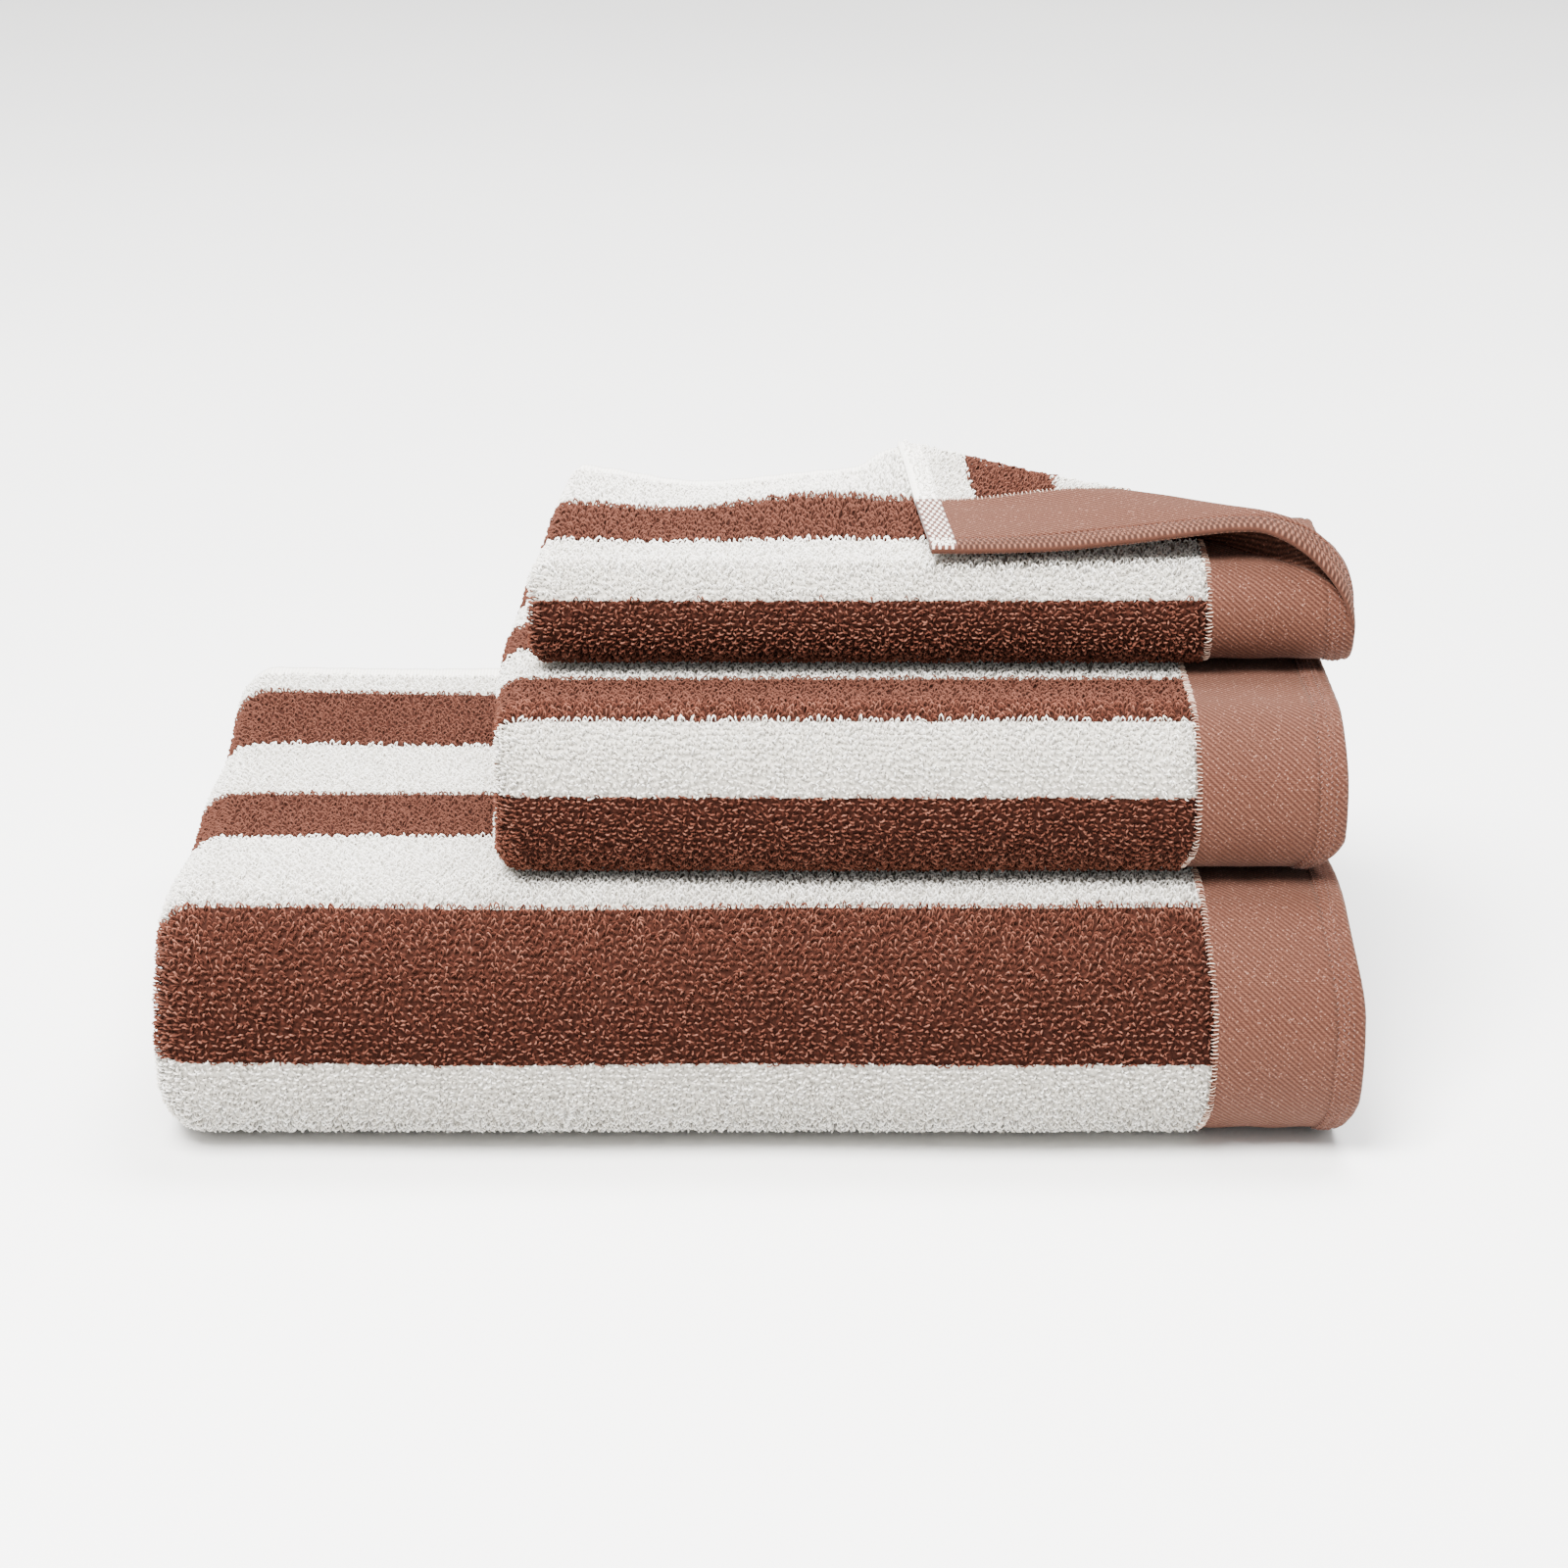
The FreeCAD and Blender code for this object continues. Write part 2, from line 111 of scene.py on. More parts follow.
# ---------------------------------------------------------------- a folded towel
class Towel:
    """The cloth of one towel: crosswise folded (a), then folded in thirds (s); h is height over the mid face."""

    def __init__(self, name, left, join, end, front, base, deep, layers, loft, brown, below, settle):
        self.name, self.left, self.join, self.end = name, left, join, end
        self.front, self.base, self.deep, self.layers, self.loft = front, base, deep, layers, loft
        self.G = layers * loft
        self.R = 1.5 * self.G
        self.half = (loft - 0.6) / 2
        self.brown, self.below, self.settle = brown, below, settle
        self.yf, self.yb = front + self.R, front + deep - self.G
        self.L = np.cumsum([
            self.yb - (self.yf + 1), math.pi * self.G, self.yb - self.yf, math.pi * self.R,
            front + deep - 2 - self.yf])
        self.length = float(self.L[-1])
        self.zero = float(self.L[2])  # under the front roll
        ht, G = self.half, self.G
        c = [G / 2 - (j + 0.5) * loft for j in range(layers)]
        if layers == 2:
            r = (c[0] - c[1]) / 2
            self.parts = [
                ("line", join, left + ht + r, c[0]), ("turn", left + ht + r, r, -1, 0.0),
                ("line", left + ht + r, join, c[1])]
            self.fold = (0, 1)
        else:
            rb, rr, rs = (c[0] - c[3]) / 2, (c[2] - c[3]) / 2, (c[1] - c[2]) / 2
            xr, xs = end - ht - rr, left + loft + ht + rs
            self.parts = [
                ("line", join, left + ht + rb, c[0]), ("turn", left + ht + rb, rb, -1, 0.0),
                ("line", left + ht + rb, xr, c[3]), ("turn", xr, rr, 1, (c[2] + c[3]) / 2),
                ("line", xr, xs, c[2]), ("turn", xs, rs, -1, 0.0), ("line", xs, join, c[1])]
        lengths = [abs(p[2] - p[1]) if p[0] == "line" else math.pi * p[2] for p in self.parts]
        self.A = np.concatenate([[0], np.cumsum(lengths)])

    def cross(self, a):
        """Position along X and in the pile of layers, and the normal of the face that is outside on layer 0."""
        a = np.asarray(a, float)
        X, C = np.zeros_like(a), np.zeros_like(a)
        nx, nc = np.zeros_like(a), np.zeros_like(a)
        up = 1.0
        for i, p in enumerate(self.parts):
            inside = (a >= self.A[i]) & (a <= self.A[i + 1] + (1e9 if i == len(self.parts) - 1 else 0))
            if i == 0:
                inside = inside | (a < 0)
            t = a - self.A[i]
            if p[0] == "line":
                d = np.sign(p[2] - p[1])
                X = np.where(inside, p[1] + d * t, X)
                C = np.where(inside, p[3], C)
                nx, nc = np.where(inside, 0.0, nx), np.where(inside, up, nc)
            else:
                _, x0, r, side, cc = p
                ang = t / r
                # the fold carries the outside face from up to -up, or round its inside on the small folds
                X = np.where(inside, x0 + side * r * np.sin(ang), X)
                C = np.where(inside, cc + self.spin(i) * r * np.cos(ang), C)
                flip = self.spin(i) * up
                nx = np.where(inside, flip * side * np.sin(ang), nx)
                nc = np.where(inside, up * np.cos(ang), nc)
                up = -up
        return X, C, nx, nc

    def spin(self, i):
        """1 where a fold starts on its upper side."""
        before, after = self.parts[i - 1][3], self.parts[i + 1][3]
        return 1.0 if before > after else -1.0

    def path(self, s, c):
        s = np.asarray(s, float)
        L, G, R = self.L, self.G, self.R
        t1 = (s - L[0]) / G
        t3 = (s - L[2]) / R
        y = np.select(
            [s < L[0], s < L[1], s < L[2], s < L[3]],
            [self.yf + 1 + s, self.yb + (G / 2 + c) * np.sin(t1), self.yb - (s - L[1]), self.yf - (G + c) * np.sin(t3)],
            self.yf + s - L[3])
        z = np.select(
            [s < L[0], s < L[1], s < L[2], s < L[3]],
            [1.5 * G + c, G + (G / 2 + c) * np.cos(t1), 0.5 * G - c, R - (G + c) * np.cos(t3)],
            2.5 * G + c)
        return y, z + self.base

    def at(self, a, s, h):
        """Millimetre positions for arrays a, s, h of one shape."""
        a, s, h = np.broadcast_arrays(np.asarray(a, float), np.asarray(s, float), np.asarray(h, float))
        X, C, nx, nc = self.cross(a)
        y, z = self.path(s, C + nc * h)
        x = X + nx * h
        x, y, z = self.settle(x, y, z)
        return np.stack([x, y, np.maximum(z, self.base * 0 + 0.05 if self.base == 0 else z)], -1)

    def stripe(self, s):
        """Distance into the nearest brown stripe, less than 0 in the white."""
        q = np.asarray(s, float) - self.zero
        best = np.full(q.shape, -1e3)
        spans = list(self.brown)
        first, width = self.below
        k = 1
        while first - (2 * k - 1) * width > -self.zero - 2 * width:
            spans.append((first - 2 * k * width, first - (2 * k - 1) * width))
            k += 1
        for lo, hi in spans:
            best = np.maximum(best, np.minimum(q - lo, hi - q))
        return best


BATH = Towel("bath", -176, 130, 168, -124.5, 0, 249, 4, 6.2,
             [(54.5, 107.1), (173.5, 215.5), (262, 303)], (54.5, 52.5), settle_bath)
HAND = Towel("hand", -80, 126, 164, -94.5, 74.9, 178, 4, 4.4,
             [(6, 45.4), (71.5, 104.5), (131, 158), (185, 212)], (6, 27.5), settle_hand)
GUEST = Towel("guest", -71, 132, 170, -50.5, 128.2, 107, 2, 5.4,
              [(0, 33), (69, 98)], (0, 27), settle_guest)
RIGHT = {"bath": 174.0, "hand": 170.0, "guest": 176.0}
BODY = {"bath": "bath_towel", "hand": "hand_towel", "guest": "guest_towel"}

# ---------------------------------------------------------------- the turned corner
# The crease runs from the back edge P to the front right, Q is where the hem's flat part ends on it and
# T is the towel's corner. w counts along the crease from P and d away from it towards T; d under 0 is
# the roll, down to its foot.
TURN = math.radians(38.2)
U = np.array([math.cos(TURN), -math.sin(TURN)])
N = np.array([-U[1], U[0]])
P0, T0, W1 = np.array([42.5, 54.5]), np.array([50.0, -42.0]), 150.0
Q0 = P0 + U * W1
TW, TD = float((T0 - P0) @ U), float(-((T0 - P0) @ N))
EDGE_P, EDGE_Q = float(np.linalg.norm(P0 - T0)), float(np.linalg.norm(Q0 - T0))
CREST_W = np.array([0, 10, 20, 40, 60, 80, 100, 120, 130, 140, 150, 160.0])
CREST = np.array([173.0, 172.8, 172.5, 171.7, 171.4, 171.6, 172.5, 173.4, 173.6, 173.2, 171.3, 165.8])
HEM_T = np.linspace(0, 1, 11)
HEM_Z = np.array([166.1, 165.9, 166.2, 166.8, 167.8, 169.0, 170.0, 171.0, 171.9, 172.2, 171.5])
SELV_T = np.array([0, .25, .5, .75, 1.0])
SELV_Z = np.array([166.1, 167.4, 169.0, 171.0, 173.0])
FOOT_T = np.array([0, .2, .42, .6, .76, .9, 1.0])
FOOT_W = np.array([0, 5.7, 12.0, 8.0, -5.0, -6.0, -6.0])
FLAP_HALF = 1.5


def crease_x(y):
    """Where the top layer of the guest towel ends, at its crease."""
    return P0[0] + (P0[1] - y) * U[0] / -U[1]


def main_top(x, y):
    """Mid face of the guest towel's top layer."""
    y = np.asarray(y, float)
    t = np.clip((GUEST.yf - y) / (GUEST.G + GUEST.loft / 2), 0, 0.985)
    z = np.where(y > GUEST.yf, GUEST.base + 3 * GUEST.G - GUEST.loft / 2,
                 GUEST.base + GUEST.R + (GUEST.G + GUEST.loft / 2) * np.sqrt(1 - t * t))
    return GUEST.settle(np.asarray(x, float), y, z)[2]


def roll_radius(w):
    w = np.clip(w, 0, 160)
    x, y = P0[0] + U[0] * w, P0[1] + U[1] * w
    return np.maximum((np.interp(w, CREST_W, CREST) - 0.3 - FLAP_HALF - main_top(x, y)) / 2, 1.8)


def flap_flat(across, along):
    """The turned corner between its woven edge and where the hem starts to curl: a flat triangle and its roll."""
    lp, lq = across / EDGE_P, along / EDGE_Q
    lt = 1 - lp - lq
    d = TD * lt
    r = roll_radius(W1 * lq)
    u = np.clip(-d / (math.pi * r), 0, 1)
    w = np.where(d >= 0, TW * lt + W1 * lq, W1 * lq + u * np.interp(lq, FOOT_T, FOOT_W))
    r = roll_radius(w)
    px, py = P0[0] + U[0] * w, P0[1] + U[1] * w
    foot = main_top(px, py)
    ang = np.clip(-d / r, 0, math.pi)
    rx, ry = px + N[0] * r * np.sin(ang), py + N[1] * r * np.sin(ang)
    rz = foot + r + r * np.cos(ang)
    # the flat part, between its crest, hem edge and woven edge
    dd = np.maximum(d, 0)
    ct, cq = np.clip(lt, 0, 1), np.clip(lq, 0, 1)
    cp = np.clip(1 - ct - cq, 0, 1)
    e = 1e-6
    wc, wh, ws = cp * cq + e * (ct < .01), ct * cq + e * (cp < .01), ct * cp + e * (cq < .01)
    crest = np.interp(W1 * cq / (cp + cq + 1e-9), CREST_W, CREST) - 0.3
    hem = np.interp(cq / (ct + cq + 1e-9), HEM_T, HEM_Z)
    selv = np.interp(cp / (cp + ct + 1e-9), SELV_T, SELV_Z)
    z = (wc * crest + wh * hem + ws * selv) / (wc + wh + ws + 1e-12) - FLAP_HALF
    z = z - 0.9 * 4 * ct * (1 - ct) * bell(cq, 0.3, 0.25) + 0.5 * np.sin(w * 0.085 + 1.2) * 4 * ct * (1 - ct)
    fx, fy = px - N[0] * dd, py - N[1] * dd
    # near the crease the flat part leaves the roll's top smoothly
    z = z + (2 * r + foot - z) * np.exp(-dd / 5.0) * (dd > 0)
    floor = main_top(fx, fy) + GUEST.half + FLAP_HALF + 0.5
    z = np.where(ct > 0.15, np.maximum(z, floor), z)
    flat = d >= 0
    return np.stack([np.where(flat, fx, rx), np.where(flat, fy, ry), np.where(flat, z, rz)], -1)


def flat_foot(along):
    lq = along / EDGE_Q
    return EDGE_P * (1 - lq + math.pi * roll_radius(W1 * lq) / TD)


# The right end, where the hem curls over the front roll: at each distance along the hem its edge, the
# crest, the back of the roll and the roll's foot.
V0 = 84.0
c0, f0 = EDGE_P * (1 - V0 / EDGE_Q), float(flat_foot(V0))
first = flap_flat(np.array([0.0, c0, (c0 + f0) / 2, f0]), np.full(4, V0))
KEY_V = np.array([V0, 100, 113, 121, 129.5, 138])
KEY_A = np.array([[c0, f0], [13.0, 32.0], [9.8, 26.0], [9.0, 22.5], [7.5, 18.5], [6.0, 14.0]])
KEY_P = np.array([
    first,
    [(150.0, -41.5, 170.2), (152.5, -29.0, 171.6), (157.2, -25.0, 165.3), (152.0, -31.6, 158.3)],
    [(162.0, -44.8, 163.8), (163.0, -36.5, 168.7), (167.2, -33.5, 163.0), (161.0, -38.8, 157.2)],
    [(167.8, -48.5, 158.3), (169.0, -41.0, 163.7), (172.2, -38.5, 159.2), (166.0, -42.7, 154.7)],
    [(172.3, -51.2, 151.8), (173.4, -44.5, 155.8), (174.4, -41.5, 152.8), (170.5, -46.2, 151.2)],
    [(175.0, -52.0, 144.0), (174.8, -47.2, 147.6), (174.4, -45.5, 146.4), (173.6, -48.8, 146.5)]])


def smooth_through(x, xs, ys):
    """Values at x of a smooth curve through ys (k, ...) at xs."""
    i = np.clip(np.searchsorted(xs, x, "right") - 1, 0, len(xs) - 2)
    slope = np.gradient(ys, xs, axis=0)
    h = (xs[i + 1] - xs[i])
    t = (x - xs[i]) / h
    while t.ndim < slope[i].ndim:
        t, h = t[..., None], h[..., None]
    return ((2 * t ** 3 - 3 * t ** 2 + 1) * ys[i] + (t ** 3 - 2 * t ** 2 + t) * h * slope[i]
            + (-2 * t ** 3 + 3 * t ** 2) * ys[i + 1] + (t ** 3 - t ** 2) * h * slope[i + 1])


def flap_curl(across, along):
    v = np.clip(along, V0, KEY_V[-1])
    pts = smooth_through(v, KEY_V, KEY_P)
    crest, foot = np.interp(v, KEY_V, KEY_A[:, 0]), np.interp(v, KEY_V, KEY_A[:, 1])
    edge, top, back, end = (pts[..., k, :] for k in range(4))
    mid = (edge + top) / 2 + np.array([0, 0, 0.4])
    q = np.where(across < crest, 2 * across / crest, 2 + 2 * (across - crest) / (foot - crest))
    q = np.clip(q, -0.2, 4.2)
    stack = [2 * edge - mid, edge, mid, top, back, end, 2 * end - back]
    out = np.zeros(q.shape + (3,))
    for k in range(4):
        t = (q - k)[..., None]
        p0, p1, p2, p3 = stack[k], stack[k + 1], stack[k + 2], stack[k + 3]
        c = 0.5 * (2 * p1 + (p2 - p0) * t + (2 * p0 - 5 * p1 + 4 * p2 - p3) * t ** 2 + (3 * p1 - p0 - 3 * p2 + p3) * t ** 3)
        use = (q >= k if k else q > -9) & (q < k + 1 if k < 3 else q < 99)
        out = np.where(use[..., None], c, out)
    return out


def flap_mid(across, along):
    k = ease(along, 86, 102)[..., None]
    return flap_flat(across, np.minimum(along, 104.0)) * (1 - k) + flap_curl(across, along) * k


def flap_foot(along):
    """How far in from the hem the roll's foot lies."""
    along = np.asarray(along, float)
    return np.where(along < V0, flat_foot(np.minimum(along, V0)), np.interp(along, KEY_V, KEY_A[:, 1]))


def flap_cloth(across, along, h):
    """across counts in from the hem and along counts from the woven edge, both over the flat cloth."""
    across, along, h = np.broadcast_arrays(np.asarray(across, float), np.asarray(along, float), np.asarray(h, float))
    e = 0.6
    ta = flap_mid(across + e, along) - flap_mid(across - e, along)
    tl = flap_mid(across, along + e) - flap_mid(across, along - e)
    n = np.cross(tl, ta)
    n /= np.linalg.norm(n, axis=-1, keepdims=True) + 1e-12
    return flap_mid(across, along) + n * h[..., None]


# ---------------------------------------------------------------- meshes
def build(name, verts, faces, material, attrs=None, body=None, smooth=True):
    me = bpy.data.meshes.new(name)
    verts = np.ascontiguousarray(verts.reshape(-1, 3) * 0.001, dtype=np.float32)
    faces = np.ascontiguousarray(faces, dtype=np.int32)
    me.vertices.add(len(verts))
    me.vertices.foreach_set("co", verts.ravel())
    k = faces.shape[1]
    me.loops.add(faces.size)
    me.loops.foreach_set("vertex_index", faces.ravel())
    me.polygons.add(len(faces))
    me.polygons.foreach_set("loop_start", np.arange(0, faces.size, k, dtype=np.int32))
    me.update(calc_edges=True)
    me.validate()
    me.polygons.foreach_set("use_smooth", np.full(len(me.polygons), smooth))
    for key, values in (attrs or {}).items():
        at = me.attributes.new(key, "FLOAT", "POINT")
        at.data.foreach_set("value", np.ascontiguousarray(values, dtype=np.float32).ravel())
    me.materials.append(material)
    ob = bpy.data.objects.new(name, me)
    SCENE.collection.objects.link(ob)
    if body:
        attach(ob, body)
    return ob


def slab(at, us, vs, top, under):
    """A closed piece of cloth over the grid us (n, m) and vs (n, m); top and under are heights of its two faces."""
    n, m = us.shape
    A = at(us, vs, np.broadcast_to(top, us.shape))
    B = at(us, vs, np.broadcast_to(under, us.shape))
    verts = np.concatenate([A.reshape(-1, 3), B.reshape(-1, 3)])
    i = np.arange(n * m).reshape(n, m)
    q = np.stack([i[:-1, :-1], i[1:, :-1], i[1:, 1:], i[:-1, 1:]], -1).reshape(-1, 4)
    ring = np.concatenate([i[0, :-1], i[:-1, -1], i[-1, :0:-1], i[:0:-1, 0]])
    nxt = np.roll(ring, -1)
    rim = np.stack([ring, nxt, nxt + n * m, ring + n * m], -1)
    faces = np.concatenate([q, q[:, ::-1] + n * m, rim])
    return verts, faces


def facing(verts, faces):
    """The faces turned so that the closed piece's volume is positive."""
    v = verts.reshape(-1, 3)
    a, b, c, d = (v[faces[:, k]] for k in range(4))
    vol = np.einsum("ij,ij->", a, np.cross(b, c)) + np.einsum("ij,ij->", a, np.cross(c, d))
    return faces if vol > 0 else faces[:, ::-1]


def cloth(name, at, us, vs, top, under, material, attrs, body):
    verts, faces = slab(at, us, vs, top, under)
    twice = {k: np.concatenate([v.ravel(), v.ravel()]) for k, v in attrs.items()}
    return build(name, verts, facing(verts, faces), material, twice, body)


def loops(at, a, s, h0, tall, span, thick, turn, lean, way, rng, rings=4, soft=0.0):
    """Little arches of yarn standing on the cloth, as vertices and quads, with each one's shade and height."""
    n = len(a)
    t = np.linspace(0.06, math.pi - 0.06, rings + 1)[None, :, None]
    col = lambda v: np.asarray(v, float).reshape(-1, 1, 1) if np.ndim(v) else np.full((n, 1, 1), float(v))
    tall, span, thick, turn, lean, way, soft = map(col, (tall, span, thick, turn, lean, way, soft))
    ra = np.array([math.pi / 2, math.pi * 7 / 6, math.pi * 11 / 6])[None, None, :]
    taper = 0.78 + 0.22 * np.sin(t)
    side, radial = np.cos(ra) * thick * taper, np.sin(ra) * thick * taper
    along = (span / 2 + radial) * np.cos(t)
    high = tall * np.sin(t) ** 0.8 + radial * np.sin(t)
    lift = np.sin(t) ** 2 * lean
    da = along * np.cos(turn) - side * np.sin(turn) + lift * np.cos(way)
    ds = along * np.sin(turn) + side * np.cos(turn) + lift * np.sin(way)
    h = col(h0) + high
    P = at(a.reshape(-1, 1, 1) + da, s.reshape(-1, 1, 1) + ds, h)
    k = 3 * (rings + 1)
    q = []
    for i in range(rings):
        for r in range(3):
            p0, p1 = i * 3 + r, i * 3 + (r + 1) % 3
            q.append([p0, p1, p1 + 3, p0 + 3])
    faces = (np.arange(n)[:, None, None] * k + np.array(q)[None]).reshape(-1, 4)
    # shade is each loop's own random tone; tip runs from the foot to the crown and carries the painted shade at the
    # foot; the last weight, on the top faces, narrows and darkens the tone and lifts the foot, for a smoother, paler
    # painted sheen
    shade = rng.uniform(0, 1, (n, 1, 1)) * (1 - 0.6 * soft) + 0.1 * soft
    shade = np.broadcast_to(shade, (n, rings + 1, 3)).ravel()
    tip = np.broadcast_to(1 - (1 - np.sin(t)) * (1 - 0.6 * soft) - 0.14 * soft, (n, rings + 1, 3)).ravel()
    soft = np.broadcast_to(soft, (n, rings + 1, 3)).ravel()
    return P.reshape(-1, 3), faces, {"shade": shade, "tip": tip, "soft": soft}


def merge(sets):
    verts, faces, attrs, n = [], [], {}, 0
    for v, f, at in sets:
        verts.append(v)
        faces.append(f + n)
        n += len(v)
        for k, x in at.items():
            attrs.setdefault(k, []).append(x)
    return np.concatenate(verts), np.concatenate(faces), {k: np.concatenate(x) for k, x in attrs.items()}


def scatter(rng, lo_a, hi_a, lo_s, hi_s, per_cm2):
    """Loop feet in rows, a little out of line."""
    pitch = 10.0 / math.sqrt(per_cm2)
    na, ns = max(1, int((hi_a - lo_a) / pitch)), max(1, int((hi_s - lo_s) / pitch))
    aa, ss = np.meshgrid(np.arange(na) + 0.5, np.arange(ns) + 0.5)
    aa = aa + 0.5 * (np.arange(ns)[:, None] % 2)
    aa = lo_a + (aa.ravel() + rng.uniform(-0.32, 0.32, aa.size)) * (hi_a - lo_a) / na
    ss = lo_s + (ss.ravel() + rng.uniform(-0.32, 0.32, ss.size)) * (hi_s - lo_s) / ns
    return aa, ss


# ---------------------------------------------------------------- materials
def new_material(name):
    m = bpy.data.materials.new(name)
    m.use_nodes = True
    nt = m.node_tree
    nt.nodes.clear()
    out = nt.nodes.new("ShaderNodeOutputMaterial")
    bsdf = nt.nodes.new("ShaderNodeBsdfPrincipled")
    nt.links.new(bsdf.outputs[0], out.inputs[0])
    return m, nt, bsdf


def node(nt, kind, **values):
    n = nt.nodes.new(kind)
    for k, v in values.items():
        if k.startswith("_"):
            setattr(n, k[1:], v)
        else:
            n.inputs[k if not k.isdigit() else int(k)].default_value = v
    return n


def math_node(nt, op, a, b=None, c=None):
    n = nt.nodes.new("ShaderNodeMath")
    n.operation = op
    for i, v in enumerate((a, b, c)):
        if v is None:
            continue
        if hasattr(v, "links"):
            nt.links.new(v, n.inputs[i])
        else:
            n.inputs[i].default_value = v
    return n.outputs[0]


def attr(nt, name):
    n = nt.nodes.new("ShaderNodeAttribute")
    n.attribute_name = name
    return n.outputs["Fac"]


def ramp(nt, fac, stops):
    n = nt.nodes.new("ShaderNodeValToRGB")
    while len(n.color_ramp.elements) < len(stops):
        n.color_ramp.elements.new(0.5)
    for e, (pos, rgb) in zip(n.color_ramp.elements, stops):
        e.position = pos
        e.color = (*rgb, 1)
    nt.links.new(fac, n.inputs[0])
    return n.outputs[0]


def mix(nt, kind, fac, a, b):
    n = nt.nodes.new("ShaderNodeMix")
    n.data_type = "RGBA"
    n.blend_type = kind
    for key, v in ((0, fac), (6, a), (7, b)):
        if hasattr(v, "links"):
            nt.links.new(v, n.inputs[key])
        else:
            n.inputs[key].default_value = v if key == 0 else (*v, 1)
    return n.outputs[2]


def coords(nt):
    return nt.nodes.new("ShaderNodeTexCoord").outputs["Object"]


def noise(nt, scale, detail=2.0, vector=None, rough=0.5):
    n = node(nt, "ShaderNodeTexNoise", Scale=scale, Detail=detail, Roughness=rough)
    nt.links.new(vector if vector is not None else coords(nt), n.inputs["Vector"])
    return n.outputs["Fac"]


def srgb(r, g, b):
    return tuple(((v / 255 + 0.055) / 1.055) ** 2.4 if v > 10 else v / 255 / 12.92 for v in (r, g, b))


def bump(nt, bsdf, height, strength, distance):
    n = node(nt, "ShaderNodeBump", Strength=strength, Distance=distance)
    nt.links.new(height, n.inputs["Height"])
    nt.links.new(n.outputs[0], bsdf.inputs["Normal"])


def cloth_finish(bsdf, rough=0.9, sheen=0.25, tint=(1, 1, 1)):
    bsdf.inputs["Roughness"].default_value = rough
    bsdf.inputs["Specular IOR Level"].default_value = 0.08
    bsdf.inputs["Sheen Weight"].default_value = sheen
    bsdf.inputs["Sheen Roughness"].default_value = 0.55
    bsdf.inputs["Sheen Tint"].default_value = (*tint, 1)


BROWN_DARK, BROWN_MID, BROWN_LIGHT = srgb(68, 35, 26), srgb(95, 54, 42), srgb(120, 77, 63)
WHITE_DARK, WHITE_MID, WHITE_LIGHT = srgb(224, 219, 208), srgb(244, 241, 234), srgb(253, 252, 248)


def pile_material(name, dark, mid, light, sheen, deep, top_sheen_colour):
    """Yarn loops: each with its own tone, darkened towards its foot by painted shade, paler on the top faces by a
    painted sheen, with fine plies.
    """
    m, nt, bsdf = new_material(name)
    own = ramp(nt, attr(nt, "shade"), [(0.0, dark), (0.5, mid), (1.0, light)])
    # painted sheen: on the top faces and the turned corner, each loop's tone is mixed towards a paler colour that
    # stands in for the sheen there
    own = mix(nt, "MIX", math_node(nt, "MULTIPLY", attr(nt, "soft"), 0.6), own, top_sheen_colour)
    # painted shade: each arch is darkened towards its foot, down to deep times its colour, where shade falls between
    # the loops
    foot = ramp(nt, attr(nt, "tip"), [(0.1, (deep, deep, deep)), (0.62, (0.72 + deep * 0.2,) * 3), (0.95, (1, 1, 1))])
    c = mix(nt, "MULTIPLY", 1.0, own, foot)
    big = noise(nt, 55, 3)
    c = mix(nt, "MULTIPLY", 0.5, c, ramp(nt, big, [(0.3, (0.82, 0.8, 0.79)), (0.7, (1, 1, 1))]))
    nt.links.new(c, bsdf.inputs["Base Color"])
    cloth_finish(bsdf, 0.92, sheen, tuple(min(1, v * 1.6) for v in light))
    ply = nt.nodes.new("ShaderNodeTexWave")
    ply.bands_direction = "DIAGONAL"
    ply.inputs["Scale"].default_value = 900
    ply.inputs["Distortion"].default_value = 3
    nt.links.new(coords(nt), ply.inputs["Vector"])
    bump(nt, bsdf, ply.outputs["Fac"], 0.35, 0.0003)
    return m


def ground_material(name):
    """The ground of the terry between the loops: stripes with jagged edges, and tangled low loops, painted much darker
    than the loops as the shade between them.
    """
    m, nt, bsdf = new_material(name)
    rag = math_node(nt, "MULTIPLY", math_node(nt, "SUBTRACT", noise(nt, 520, 2), 0.5), 2.0)
    side = math_node(nt, "GREATER_THAN", math_node(nt, "ADD", attr(nt, "stripe"), rag), 0.0)
    vor = node(nt, "ShaderNodeTexVoronoi", Scale=640.0)
    nt.links.new(coords(nt), vor.inputs["Vector"])
    # painted shade: the ground's colours are the pile's dark colours darkened further, for the shade between the loops,
    # in the pattern of the low loops
    brown = ramp(nt, vor.outputs["Distance"], [(0.05, tuple(c * 0.9 for c in BROWN_DARK)), (0.6, tuple(c * 0.38 for c in BROWN_DARK))])
    white = ramp(nt, vor.outputs["Distance"], [(0.1, tuple(c * 0.85 for c in WHITE_DARK)), (0.75, tuple(c * 0.5 for c in WHITE_DARK))])
    nt.links.new(mix(nt, "MIX", side, white, brown), bsdf.inputs["Base Color"])
    cloth_finish(bsdf, 0.95, 0.0)
    h = math_node(nt, "SUBTRACT", 1.0, vor.outputs["Distance"])
    bump(nt, bsdf, h, 0.9, 0.0009)
    return m


